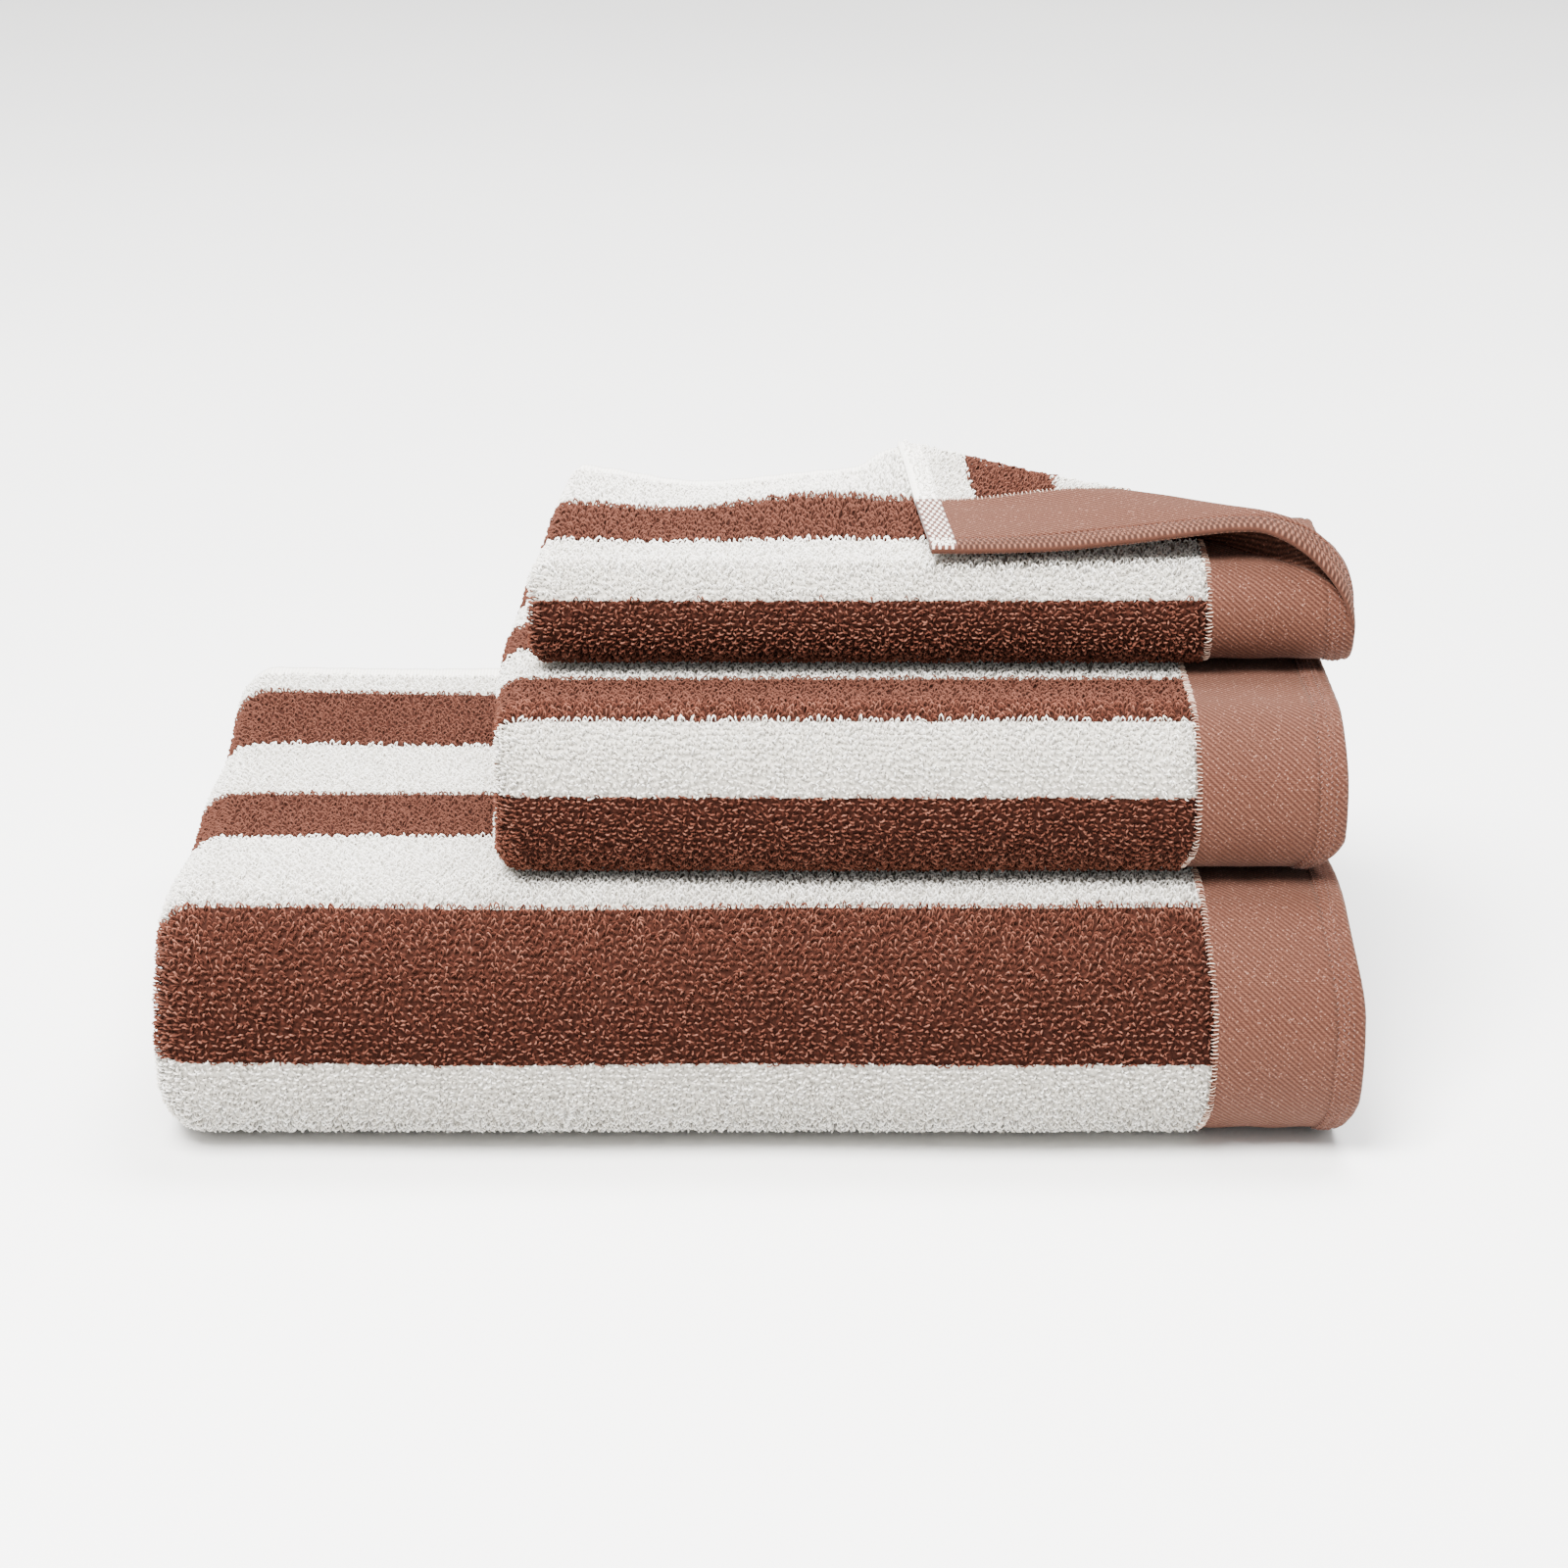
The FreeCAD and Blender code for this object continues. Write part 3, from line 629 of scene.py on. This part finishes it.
def twill_material(name, dark, mid, light, speck=0.5):
    """Flat twill: fine diagonal ribs with small light floats."""
    m, nt, bsdf = new_material(name)
    cu, cv = attr(nt, "cu"), attr(nt, "cv")
    v = nt.nodes.new("ShaderNodeCombineXYZ")
    nt.links.new(cu, v.inputs[0])
    nt.links.new(cv, v.inputs[1])
    diag = math_node(nt, "SINE", math_node(nt, "MULTIPLY", math_node(nt, "ADD", cu, cv), 2 * math.pi / 1.9))
    weft = math_node(nt, "SINE", math_node(nt, "MULTIPLY", cv, 2 * math.pi / 0.55))
    rib = math_node(nt, "MULTIPLY_ADD", diag, 0.28, 0.5)
    rib = math_node(nt, "MULTIPLY_ADD", weft, 0.1, rib)
    rib = math_node(nt, "MULTIPLY_ADD", math_node(nt, "SUBTRACT", noise(nt, 1.6, 2, v.outputs[0]), 0.5), 0.9, rib)
    spots = node(nt, "ShaderNodeTexVoronoi", Scale=1.05)
    nt.links.new(v.outputs[0], spots.inputs["Vector"])
    fleck = math_node(nt, "LESS_THAN", spots.outputs["Distance"], 0.26)
    pick = noise(nt, 0.8, 1, v.outputs[0])
    fleck = math_node(nt, "MULTIPLY", fleck, math_node(nt, "GREATER_THAN", pick, 0.52))
    c = ramp(nt, rib, [(0.1, dark), (0.5, mid), (0.95, light)])
    c = mix(nt, "MIX", math_node(nt, "MULTIPLY", fleck, speck), c, tuple(min(1, x * 1.9 + 0.05) for x in light))
    c = mix(nt, "MULTIPLY", 0.55, c, ramp(nt, noise(nt, 40, 3), [(0.3, (0.84, 0.82, 0.81)), (0.7, (1, 1, 1))]))
    nt.links.new(c, bsdf.inputs["Base Color"])
    cloth_finish(bsdf, 0.82, 0.08, (0.9, 0.66, 0.55))
    bump(nt, bsdf, math_node(nt, "ADD", rib, math_node(nt, "MULTIPLY", noise(nt, 900, 2), 0.5)), 0.6, 0.0004)
    return m


def honey_material(name, dark, mid, light):
    """The thick woven hem: small light floats in offset rows over a darker ground."""
    m, nt, bsdf = new_material(name)
    cu, cv = attr(nt, "cu"), attr(nt, "cv")
    a = math_node(nt, "SINE", math_node(nt, "MULTIPLY", cu, 2 * math.pi / 4.4))
    b = math_node(nt, "SINE", math_node(nt, "MULTIPLY", cv, 2 * math.pi / 1.75))
    cell = math_node(nt, "MULTIPLY_ADD", math_node(nt, "MULTIPLY", a, b), 0.5, 0.5)
    c = ramp(nt, cell, [(0.2, dark), (0.55, mid), (0.92, light)])
    c = mix(nt, "MULTIPLY", 0.6, c, ramp(nt, noise(nt, 260, 2), [(0.3, (0.7, 0.68, 0.67)), (0.7, (1, 1, 1))]))
    nt.links.new(c, bsdf.inputs["Base Color"])
    cloth_finish(bsdf, 0.84, 0.1, (0.9, 0.6, 0.48))
    bump(nt, bsdf, cell, 0.8, 0.0005)
    return m


def net_material(name):
    """The woven edge of the border: brown and white warp in a small net."""
    m, nt, bsdf = new_material(name)
    cu, cv = attr(nt, "cu"), attr(nt, "cv")
    a = math_node(nt, "SINE", math_node(nt, "MULTIPLY", cu, 2 * math.pi / 5.2))
    b = math_node(nt, "SINE", math_node(nt, "MULTIPLY", cv, 2 * math.pi / 1.9))
    net = math_node(nt, "MULTIPLY_ADD", math_node(nt, "MULTIPLY", a, b), 0.5, 0.5)
    c = ramp(nt, net, [(0.52, srgb(84, 50, 40)), (0.62, srgb(226, 216, 206))])
    c = mix(nt, "MULTIPLY", 0.5, c, ramp(nt, noise(nt, 300, 2), [(0.3, (0.75, 0.73, 0.72)), (0.7, (1, 1, 1))]))
    nt.links.new(c, bsdf.inputs["Base Color"])
    cloth_finish(bsdf, 0.85, 0.2)
    bump(nt, bsdf, net, 0.7, 0.0005)
    return m


def yarn_material(name, dark, light):
    m, nt, bsdf = new_material(name)
    c = ramp(nt, attr(nt, "shade"), [(0.0, dark), (1.0, light)])
    c = mix(nt, "MULTIPLY", 0.5, c, ramp(nt, noise(nt, 700, 2), [(0.3, (0.7, 0.7, 0.7)), (0.7, (1, 1, 1))]))
    nt.links.new(c, bsdf.inputs["Base Color"])
    cloth_finish(bsdf, 0.8, 0.2)
    bump(nt, bsdf, noise(nt, 1500, 2), 0.4, 0.0003)
    return m


def edge_material(name):
    """White woven edge: narrow ribs across."""
    m, nt, bsdf = new_material(name)
    cu, cv = attr(nt, "cu"), attr(nt, "cv")
    rib = math_node(nt, "SINE", math_node(nt, "MULTIPLY", cu, 2 * math.pi / 1.1))
    wave = math_node(nt, "SINE", math_node(nt, "MULTIPLY", cv, 2 * math.pi / 0.7))
    both = math_node(nt, "MULTIPLY_ADD", wave, 0.2, math_node(nt, "MULTIPLY_ADD", rib, 0.3, 0.5))
    side = math_node(nt, "GREATER_THAN", attr(nt, "stripe"), 0.0)
    white = ramp(nt, both, [(0.1, WHITE_DARK), (0.9, WHITE_LIGHT)])
    brown = ramp(nt, both, [(0.1, BROWN_DARK), (0.9, BROWN_LIGHT)])
    nt.links.new(mix(nt, "MIX", side, white, brown), bsdf.inputs["Base Color"])
    cloth_finish(bsdf, 0.88, 0.2)
    bump(nt, bsdf, both, 0.6, 0.0004)
    return m


# the last colour of each is the paler painted sheen of the top faces
PILE = {
    "white": pile_material("white_pile", WHITE_DARK, WHITE_MID, WHITE_LIGHT, 0.1, 0.26, WHITE_LIGHT),
    "brown": pile_material("brown_pile", BROWN_DARK, BROWN_MID, BROWN_LIGHT, 0.3, 0.3, srgb(82, 52, 43)),
}
GROUND = ground_material("terry_ground")
TWILL = twill_material("border_twill", srgb(48, 26, 19), srgb(71, 41, 31), srgb(98, 63, 50))
HEM = honey_material("honeycomb_hem", srgb(44, 24, 17), srgb(64, 37, 28), srgb(108, 72, 58))
NET = net_material("border_edge")
WHIP = yarn_material("whip_stitches", srgb(150, 100, 82), srgb(226, 204, 186))
PLAIN = yarn_material("corner_stitches", srgb(226, 220, 210), srgb(248, 245, 238))
DOTS = yarn_material("hem_stitches", srgb(88, 50, 38), srgb(116, 74, 60))
EDGE = edge_material("woven_edge")

# ---------------------------------------------------------------- the towels
PILE_H = {"bath": 1.8, "hand": 1.5, "guest": 1.6}
LIMIT = 8300  # loops in one piece
count = {}


def pile_pieces(prefix, body, sets, limit=LIMIT):
    """sets: {"white": [(a, s, at, settings)...], "brown": [...]} becomes pieces of at most limit loops."""
    made = []
    for colour, groups in sets.items():
        jobs, have, k = [], 0, 1

        def flush():
            nonlocal jobs, have, k
            if jobs:
                v, f, at = merge(jobs)
                made.append(build("%s_%s_loops_%d" % (prefix, colour, k), v, f, PILE[colour], at, body))
                jobs, have, k = [], 0, k + 1

        for (a, s, at, kw) in groups:
            done = 0
            while done < len(a):
                take = min(len(a) - done, limit - have)
                part = slice(done, done + take)
                cut = {key: (v[part] if isinstance(v, np.ndarray) else v) for key, v in kw.items()}
                jobs.append(loops(at, a[part], s[part], rng=np.random.default_rng(len(made) + 7), **cut))
                have += take
                done += take
                if have >= limit:
                    flush()
        flush()
        count[prefix + "_" + colour] = sum(len(g[0]) for g in groups)
    return made


def look(rng, n, h, base, rows=0.0):
    """Settings of n loops of height h over base: most lean down the front, all a little differently."""
    return dict(
        h0=base - 0.35, tall=h * rng.uniform(0.8, 1.18, n), span=rng.uniform(1.0, 1.7, n),
        thick=rng.uniform(0.26, 0.36, n), turn=rng.normal(0, 0.65, n),
        lean=rng.uniform(0.3, 1.35, n), way=math.pi / 2 + rng.normal(0, 0.8, n))


def terry(towel, dense):
    n, ph, ht = towel.name, PILE_H[towel.name], towel.half
    body = BODY[n]
    step_s, step_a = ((3.0, 5.0))
    start, stop = 7.0, towel.length - 7.0
    marks = np.unique(np.concatenate([
        np.linspace(start, towel.L[0], int((towel.L[0] - start) / 6)),
        np.linspace(towel.L[0], towel.L[1], 22), np.linspace(towel.L[1], towel.L[2], int((towel.L[2] - towel.L[1]) / 6)),
        np.linspace(towel.L[2], towel.L[3], int((towel.L[3] - towel.L[2]) / 2.5)),
        np.linspace(towel.L[3], stop, int((stop - towel.L[3]) / step_s))]))
    cols = []
    for i, p in enumerate(towel.parts):
        size = towel.A[i + 1] - towel.A[i]
        k = max(2, int(size / step_a)) if p[0] == "line" else 14
        cols.append(np.linspace(towel.A[i], towel.A[i + 1], k, endpoint=False))
    cols = np.concatenate(cols + [[towel.A[-1]]])
    S, A = np.meshgrid(marks, cols, indexing="ij")
    if towel is GUEST:
        y, _ = towel.path(marks, towel.G / 2)
        cut = np.where(marks > towel.zero + towel.R * 1.6, np.maximum(0, towel.join - crease_x(y)), 0)[:, None]
        first = towel.A[1]
        A = np.where(A < first, cut + (A / first) * (first - cut), A)
    outer = A <= towel.A[2]
    top = np.where(outer, ht - ph, ht)
    # where the first fold ends, the recessed face eases back to full thickness
    top = np.where((A > towel.A[2] - 3) & outer, ht - ph * (towel.A[2] - A).clip(0, 3) / 3, top)
    if towel.layers == 4:
        right = bell(A, (towel.A[3] + towel.A[4]) / 2, 4)
        top = top - ph * 0.8 * right
    ob = cloth(n + "_terry_ground", towel.at, A, S, top, -ht, GROUND,
               {"stripe": towel.stripe(S)}, body)
    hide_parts(n + "_terry")
    # loops
    rng = np.random.default_rng({"bath": 11, "hand": 22, "guest": 33}[n])
    regions = []
    roll = towel.L[2] - (14 if n == "bath" else 4)
    first = towel.A[1]
    regions.append((0.0, first, roll, stop, dense))
    regions.append((0.0, first, towel.L[0] - 6, towel.L[1] + 8, dense * 0.8))
    regions.append((first, towel.A[2] - 1, start, stop, dense * 1.3))
    if towel.layers == 4:
        regions.append((towel.A[3], towel.A[4], start, stop, dense * 1.2))
    sets = {"white": [], "brown": []}
    for lo_a, hi_a, lo_s, hi_s, d in regions:
        a, s = scatter(rng, lo_a, hi_a, lo_s, hi_s, d * DENSE)
        if towel is GUEST:
            y, _ = towel.path(s, towel.G / 2)
            gone = (s > towel.zero + towel.R * 1.6) & (a < towel.join - crease_x(y) + 0.5) & (a < first)
            a, s = a[~gone], s[~gone]
        rag = rng.normal(0, 0.28, len(a))
        is_brown = towel.stripe(s) + rag > 0
        for colour, pick in (("white", ~is_brown), ("brown", is_brown)):
            if pick.any():
                kw = look(rng, int(pick.sum()), ph + 0.55, ht - ph)
                flat = ease(s[pick], towel.L[3] - 0.3 * towel.R, towel.L[3] + 0.25 * towel.R) * (1 - ease(a[pick], first + 2, towel.A[2]))
                kw["tall"] = kw["tall"] * (1 - 0.3 * flat)
                kw["lean"] = kw["lean"] * (1 - 0.25 * flat)
                kw["way"] = kw["way"] + flat * rng.normal(0, 1.2, int(pick.sum()))
                # on the top face the loops take the paler painted sheen and less painted shade at their feet
                kw["soft"] = flat
                edge = np.abs(towel.stripe(s[pick])) < 1.6
                if colour == "white":
                    kw["tall"] = kw["tall"] * np.where(edge, 1.0, 1.0)
                    kw["lean"] = kw["lean"] * np.where(edge, 1.1, 0.9)
                    kw["thick"] = kw["thick"] * 0.92
                else:
                    kw["tall"] = kw["tall"] * 0.97
                sets[colour].append((a[pick], s[pick], towel.at, kw))
    made = pile_pieces(n + "_terry", body, sets)
    return ob, made


def strips(towel):
    """Borders, hems, their stitches and the woven edges of one towel."""
    n, body = towel.name, BODY[towel.name]
    made = []
    right = RIGHT[n]
    hem0 = right - 9
    c_of = lambda j, sunk, thick: towel.G / 2 - (j * towel.loft + sunk + thick / 2)
    ns = int(towel.length / (2.2))
    S0 = np.linspace(0.0, towel.length, ns)

    def across(xs, c, S):
        """A cloth map whose first coordinate is X."""
        def at(x, s, h):
            x, s, h = np.broadcast_arrays(np.asarray(x, float), np.asarray(s, float), np.asarray(h, float))
            y, z = towel.path(s, c + h)
            x, y, z = towel.settle(x, y, z)
            return np.stack([x, y, np.maximum(z, 0.05)], -1)
        return at

    for j, side in ((0, "outer"), (1, "inner")):
        cut = None
        S = S0
        if towel is GUEST and j == 0:
            # the top layer ends at its crease
            y, _ = towel.path(S0, towel.G / 2)
            limit = np.where(S0 > towel.zero + towel.R * 1.6, crease_x(y), 1e3)
            keep_b, keep_h = limit > towel.join + 0.4, limit > hem0 + 0.3
        else:
            limit = np.full(ns, 1e3)
            keep_b = keep_h = np.ones(ns, bool)
        thick = 1.8
        at = across(None, c_of(j, 1.2, thick), S)
        Sb, lb = S0[keep_b], limit[keep_b]
        X = towel.join + (np.minimum(hem0 + 1.0, lb) - towel.join)[:, None] * np.linspace(0, 1, 20)[None, :]
        SS = np.broadcast_to(Sb[:, None], X.shape)
        wob = 0.22 * np.sin(X * 0.35 + SS * 0.05) * np.sin(SS * 0.11 + 1)
        tops = thick / 2 + wob
        b = cloth("%s_border_%s_cloth" % (n, side), at, X, SS, tops, -thick / 2, TWILL,
                  {"cu": X, "cv": SS}, body)
        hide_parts("%s_border_%s" % (n, side))
        thick = 3.2
        at = across(None, c_of(j, 0.6, thick), S)
        Sh, lh = S0[keep_h], limit[keep_h]
        t = np.linspace(0, 1, 12)[None, :]
        X = hem0 + (np.minimum(right, lh) - hem0)[:, None] * t
        SS = np.broadcast_to(Sh[:, None], X.shape)
        puff = (1 - np.abs(2 * t - 1) ** 3.5) ** 0.5
        groove = 0.35 * bell(X, hem0 + 6.6, 0.5)
        top = thick / 2 * np.maximum(puff, 0.25) - groove + 0.12 * np.sin(SS * 2 * math.pi / 3.1)
        hm = cloth("%s_hem_%s_cloth" % (n, side), at, X, SS, top, -thick / 2 * np.maximum(puff, 0.25), TWILL,
                   {"cu": X, "cv": SS}, body)
        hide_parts("%s_hem_%s" % (n, side))
        made += [b, hm]
        rng = np.random.default_rng(5 + j)
        # hem stitches, in four offset rows
        jobs = []
        for row in range(4):
            s = np.arange(2.0 + row % 2 * 0.9, towel.length - 1, 1.8 if j == 0 else 2.6)
            x = np.full(len(s), hem0 + 1.1 + row * 1.45) + rng.uniform(-0.1, 0.1, len(s))
            lim = np.interp(s, S0, limit)
            ok = x < lim - 0.5
            x, s = x[ok], s[ok]
            pf = (1 - np.abs(2 * (x - hem0) / 9 - 1) ** 3.5) ** 0.5
            jobs.append(loops(at, x, s, thick / 2 * pf - 0.12, 0.3, 0.9, 0.15, rng.normal(0.9 * (-1) ** row, 0.15, len(s)),
                              0.0, 0.0, rng, rings=3))
        v, f, at2 = merge(jobs)
        st = build("%s_hem_stitches_%s" % (n, side), v, f, DOTS, at2, body)
        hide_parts("%s_hem_thread_%s" % (n, side))
        # whipped seam where the terry ends
        s = np.arange(0.8, towel.length - 0.5, 1.25 if j == 0 else 2.2)
        s = s + rng.uniform(-0.15, 0.15, len(s))
        lim = np.interp(s, S0, limit)
        s = s[lim > towel.join + 1.5]
        at = across(None, c_of(j, 1.2, 1.8), S)
        v, f, at3 = loops(at, np.full(len(s), towel.join + 0.4), s, 0.75, rng.uniform(0.45, 0.7, len(s)),
                          rng.uniform(1.6, 2.5, len(s)), 0.2, rng.normal(0, 0.2, len(s)), 0.0, 0.0, rng)
        wh = build("%s_border_whipping_%s" % (n, side), v, f, WHIP, at3, body)
        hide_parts("%s_border_seam_%s" % (n, side))
        made += [st, wh]
    # woven edges: the free one at the back of the top, and the tucked-in one
    for label, lo, hi in (("top", towel.length - 7.4, towel.length), ("inner", 0.0, 7.4)):
        cols = []
        for i, p in enumerate(towel.parts):
            size = towel.A[i + 1] - towel.A[i]
            k = max(2, int(size / 4)) if p[0] == "line" else 12
            cols.append(np.linspace(towel.A[i], towel.A[i + 1], k, endpoint=False))
        cols = np.concatenate(cols + [[towel.A[-1]]])
        if towel is GUEST and label == "top":
            y, _ = towel.path(np.array([towel.length - 3.5]), 0)
            cut = towel.join - crease_x(y)[0]
            cols = np.where(cols < towel.A[1], cut + cols / towel.A[1] * (towel.A[1] - cut), cols)
        S, A = np.meshgrid(np.linspace(lo, hi, 5), cols, indexing="ij")
        top = towel.half - 1.0 + 0.12 * np.sin(A * 2.1)
        e = cloth("%s_selvedge_%s_cloth" % (n, label), towel.at, A, S, top, towel.half - 3.0, EDGE,
                  {"cu": A, "cv": S, "stripe": towel.stripe(S)}, body)
        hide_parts("%s_selvedge_%s" % (n, label))
        made.append(e)
    return made


for towel, dense in ((BATH, 30), (HAND, 34), (GUEST, 36)):
    ground, pile = terry(towel, dense)
    rest = strips(towel)

# ---------------------------------------------------------------- the turned corner's pieces
flap = []
FH = FLAP_HALF
J, V_END = 44.0, float(KEY_V[-1])
na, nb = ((18, 110))


def strip_grid(lo, hi, v0, v1, cols, rows):
    """A grid from the woven edge along the hem; hi may be cut short by the roll's foot."""
    v = np.linspace(v0, v1, rows)[:, None]
    top = np.minimum(hi, flap_foot(v))
    t = np.linspace(0, 1, cols)[None, :]
    ac = lo + t * np.maximum(top - lo, 0.15)
    return ac, np.broadcast_to(v, ac.shape)


def last_along(across):
    """The last place along the hem where the flap is still as wide as across."""
    v = np.linspace(0, V_END, 800)
    return float(v[flap_foot(v) > across].max())


def flap_stripe(along):
    along = np.asarray(along, float)
    return np.maximum.reduce([np.minimum(along - lo, hi - along) for lo, hi in ((18.5, 43.5), (69.5, 95.5), (122, 147))])


# terry of the flap, with its part of the roll, down to the foot
fpile = 0.9
JV = last_along(J)
ac, al = strip_grid(J, 1e3, 7.0, JV, 40, nb)
ground = cloth("flap_terry_ground", flap_cloth, ac, al, FH - fpile, -FH, GROUND, {"stripe": flap_stripe(al)}, None)
flap.append(("flap_terry", ground))
rng = np.random.default_rng(77)
a, s = scatter(rng, J, EDGE_P * 1.3, 1.2, JV, 46 * DENSE)
ok = (a < flap_foot(s) - 0.5)
a, s = a[ok], s[ok]
is_brown = flap_stripe(s) + rng.normal(0, 0.3, len(s)) > 0
for colour, pick in (("white", ~is_brown), ("brown", is_brown)):
    k = look(rng, int(pick.sum()), fpile + 0.45, FH - fpile)
    k["thick"] = k["thick"] * 0.85
    # the turned corner's loops take most of the paler painted sheen and less painted shade at their feet
    k["soft"] = 0.8
    v, f, at = loops(flap_cloth, a[pick], s[pick], rng=rng, **k)
    flap.append((None, build("flap_terry_%s_loops" % colour, v, f, PILE[colour], at, None)))

BV = last_along(9.2)
ac, al = strip_grid(8.6, J + 0.4, 7.0, BV, 24, nb)
thick = 1.8
b = cloth("flap_border_cloth", flap_cloth, ac, al, FH - 0.3 + 0.1 * np.sin(ac * 0.4 + al * 0.09), FH - 0.3 - thick, TWILL,
          {"cu": ac, "cv": al}, None)
flap.append(("flap_border", b))
ac, al = strip_grid(0.0, 9.0, 0.0, V_END, 14, nb + 20)
t = ac / 9.0
puff = np.maximum((1 - np.abs(2 * t - 1) ** 3.5) ** 0.5, 0.25)
thin = 1 - 0.45 * ease(al, 118, V_END)
b = cloth("flap_hem_cloth", flap_cloth, ac, al, (1.5 * puff - 0.2 * bell(ac, 2.6, 0.4)) * thin, -1.5 * puff * thin, HEM,
          {"cu": ac, "cv": al}, None)
flap.append(("flap_hem", b))
# speckled woven edge of the border, and the white one of the terry
ac, al = np.meshgrid(np.linspace(0.3, J, 40), np.linspace(0.0, 7.6, 8), indexing="ij")
b = cloth("flap_border_edge", flap_cloth, ac, al, FH + 0.15, FH - 1.9, NET, {"cu": ac, "cv": al}, None)
flap.append((None, b))
AC, AL = np.meshgrid(np.linspace(J, flap_foot(0.0) - 0.3, 40), np.linspace(0.0, 7.6, 6), indexing="ij")
b = cloth("flap_selvedge_cloth", flap_cloth, AC, AL, FH - 0.5 + 0.1 * np.sin(AC * 2), FH - 2.1, EDGE,
          {"cu": AC, "cv": AL, "stripe": AC * 0 - 5}, None)
flap.append(("flap_selvedge", b))
jobs = []
for row in range(4):
    q = np.arange(8.6 + row % 2 * 0.9, V_END - 2, 1.8)
    x = np.full(len(q), 7.9 - row * 1.45) + rng.uniform(-0.1, 0.1, len(q))
    pf = (1 - np.abs(2 * x / 9 - 1) ** 3.5) ** 0.5 * (1 - 0.45 * ease(q, 118, V_END))
    jobs.append(loops(flap_cloth, x, q, 1.5 * pf - 0.12, 0.3, 0.9, 0.15, rng.normal(0.9 * (-1) ** row, 0.15, len(q)), 0.0, 0.0, rng, rings=3))
v, f, at = merge(jobs)
flap.append(("flap_hem_thread", build("flap_hem_stitches", v, f, DOTS, at, None)))
q = np.arange(8, JV - 1, 1.25)
v, f, at = loops(flap_cloth, np.full(len(q), J + 0.2), q, FH - 0.45, 0.55, 2.0, 0.18, rng.normal(0, 0.2, len(q)), 0.0, 0.0, rng)
flap.append(("flap_border_seam", build("flap_border_whipping", v, f, WHIP, at, None)))
# white stitches at the corner's end of the woven edge
x, q = np.meshgrid(np.arange(0.9, 6.0, 1.25), np.arange(0.9, 7.2, 1.3))
x, q = x.ravel() + rng.uniform(-0.2, 0.2, x.size), q.ravel() + rng.uniform(-0.2, 0.2, q.size)
v, f, at = loops(flap_cloth, x, q, FH, 0.4, 0.9, 0.3, rng.normal(0.9, 0.3, len(x)), 0.0, 0.0, rng)
flap.append((None, build("flap_corner_stitches", v, f, PLAIN, at, None)))

# The roll's foot on the towel, and a direction that leans along the crease and towards the corner, as the foot falls
# towards the front right; neither is used below.
# The flap's pieces are fixed in place and hide the parts they stand for.
foot = np.array([P0[0], P0[1], float(main_top(P0[0], P0[1]))])
way = np.array([0.05 * U[0] - 0.35 * N[0], 0.05 * U[1] - 0.35 * N[1], 1.0])
way /= np.linalg.norm(way)
for stands_for, ob in flap:
    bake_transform(ob)
    if stands_for:
        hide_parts(stands_for)

# ---------------------------------------------------------------- the room
bpy.ops.mesh.primitive_plane_add(size=30, location=(0, 0, 0))
floor = bpy.context.object
floor.name = "floor"
m, nt, bsdf = new_material("pale_floor")
nt.links.new(ramp(nt, noise(nt, 3, 2), [(0.3, (0.86, 0.86, 0.86)), (0.7, (0.9, 0.9, 0.895))]), bsdf.inputs["Base Color"])
bsdf.inputs["Roughness"].default_value = 0.85
floor.data.materials.append(m)

world = bpy.data.worlds.new("studio")
world.use_nodes = True
world.node_tree.nodes["Background"].inputs[0].default_value = (1, 0.99, 0.975, 1)
world.node_tree.nodes["Background"].inputs[1].default_value = 1.1
SCENE.world = world


def lamp(name, where, to, size, power, colour=(1, 1, 1)):
    data = bpy.data.lights.new(name, "AREA")
    data.shape = "RECTANGLE"
    data.size, data.size_y = size
    data.energy = power
    data.color = colour
    ob = bpy.data.objects.new(name, data)
    ob.location = where
    ob.rotation_euler = (Vector(to) - Vector(where)).to_track_quat("-Z", "Y").to_euler()
    SCENE.collection.objects.link(ob)


lamp("key", (-0.5, -0.95, 1.8), (0, 0, 0.08), (0.9, 0.9), 222, (1, 0.985, 0.96))
lamp("top", (0.35, 0.45, 1.9), (0, 0, 0.1), (1.2, 1.0), 105)

cam = bpy.data.cameras.new("camera")
cam.sensor_width = 36
cam.lens = 4204 / 1600 * 36
cam.shift_x = -24 / 1600 * -1
cam.clip_start, cam.clip_end = 0.05, 50
camera = bpy.data.objects.new("camera", cam)
camera.location = (-0.001, -1.2165, 0.5185)
camera.rotation_euler = (math.radians(90 - 20), 0, 0)
SCENE.collection.objects.link(camera)
SCENE.camera = camera
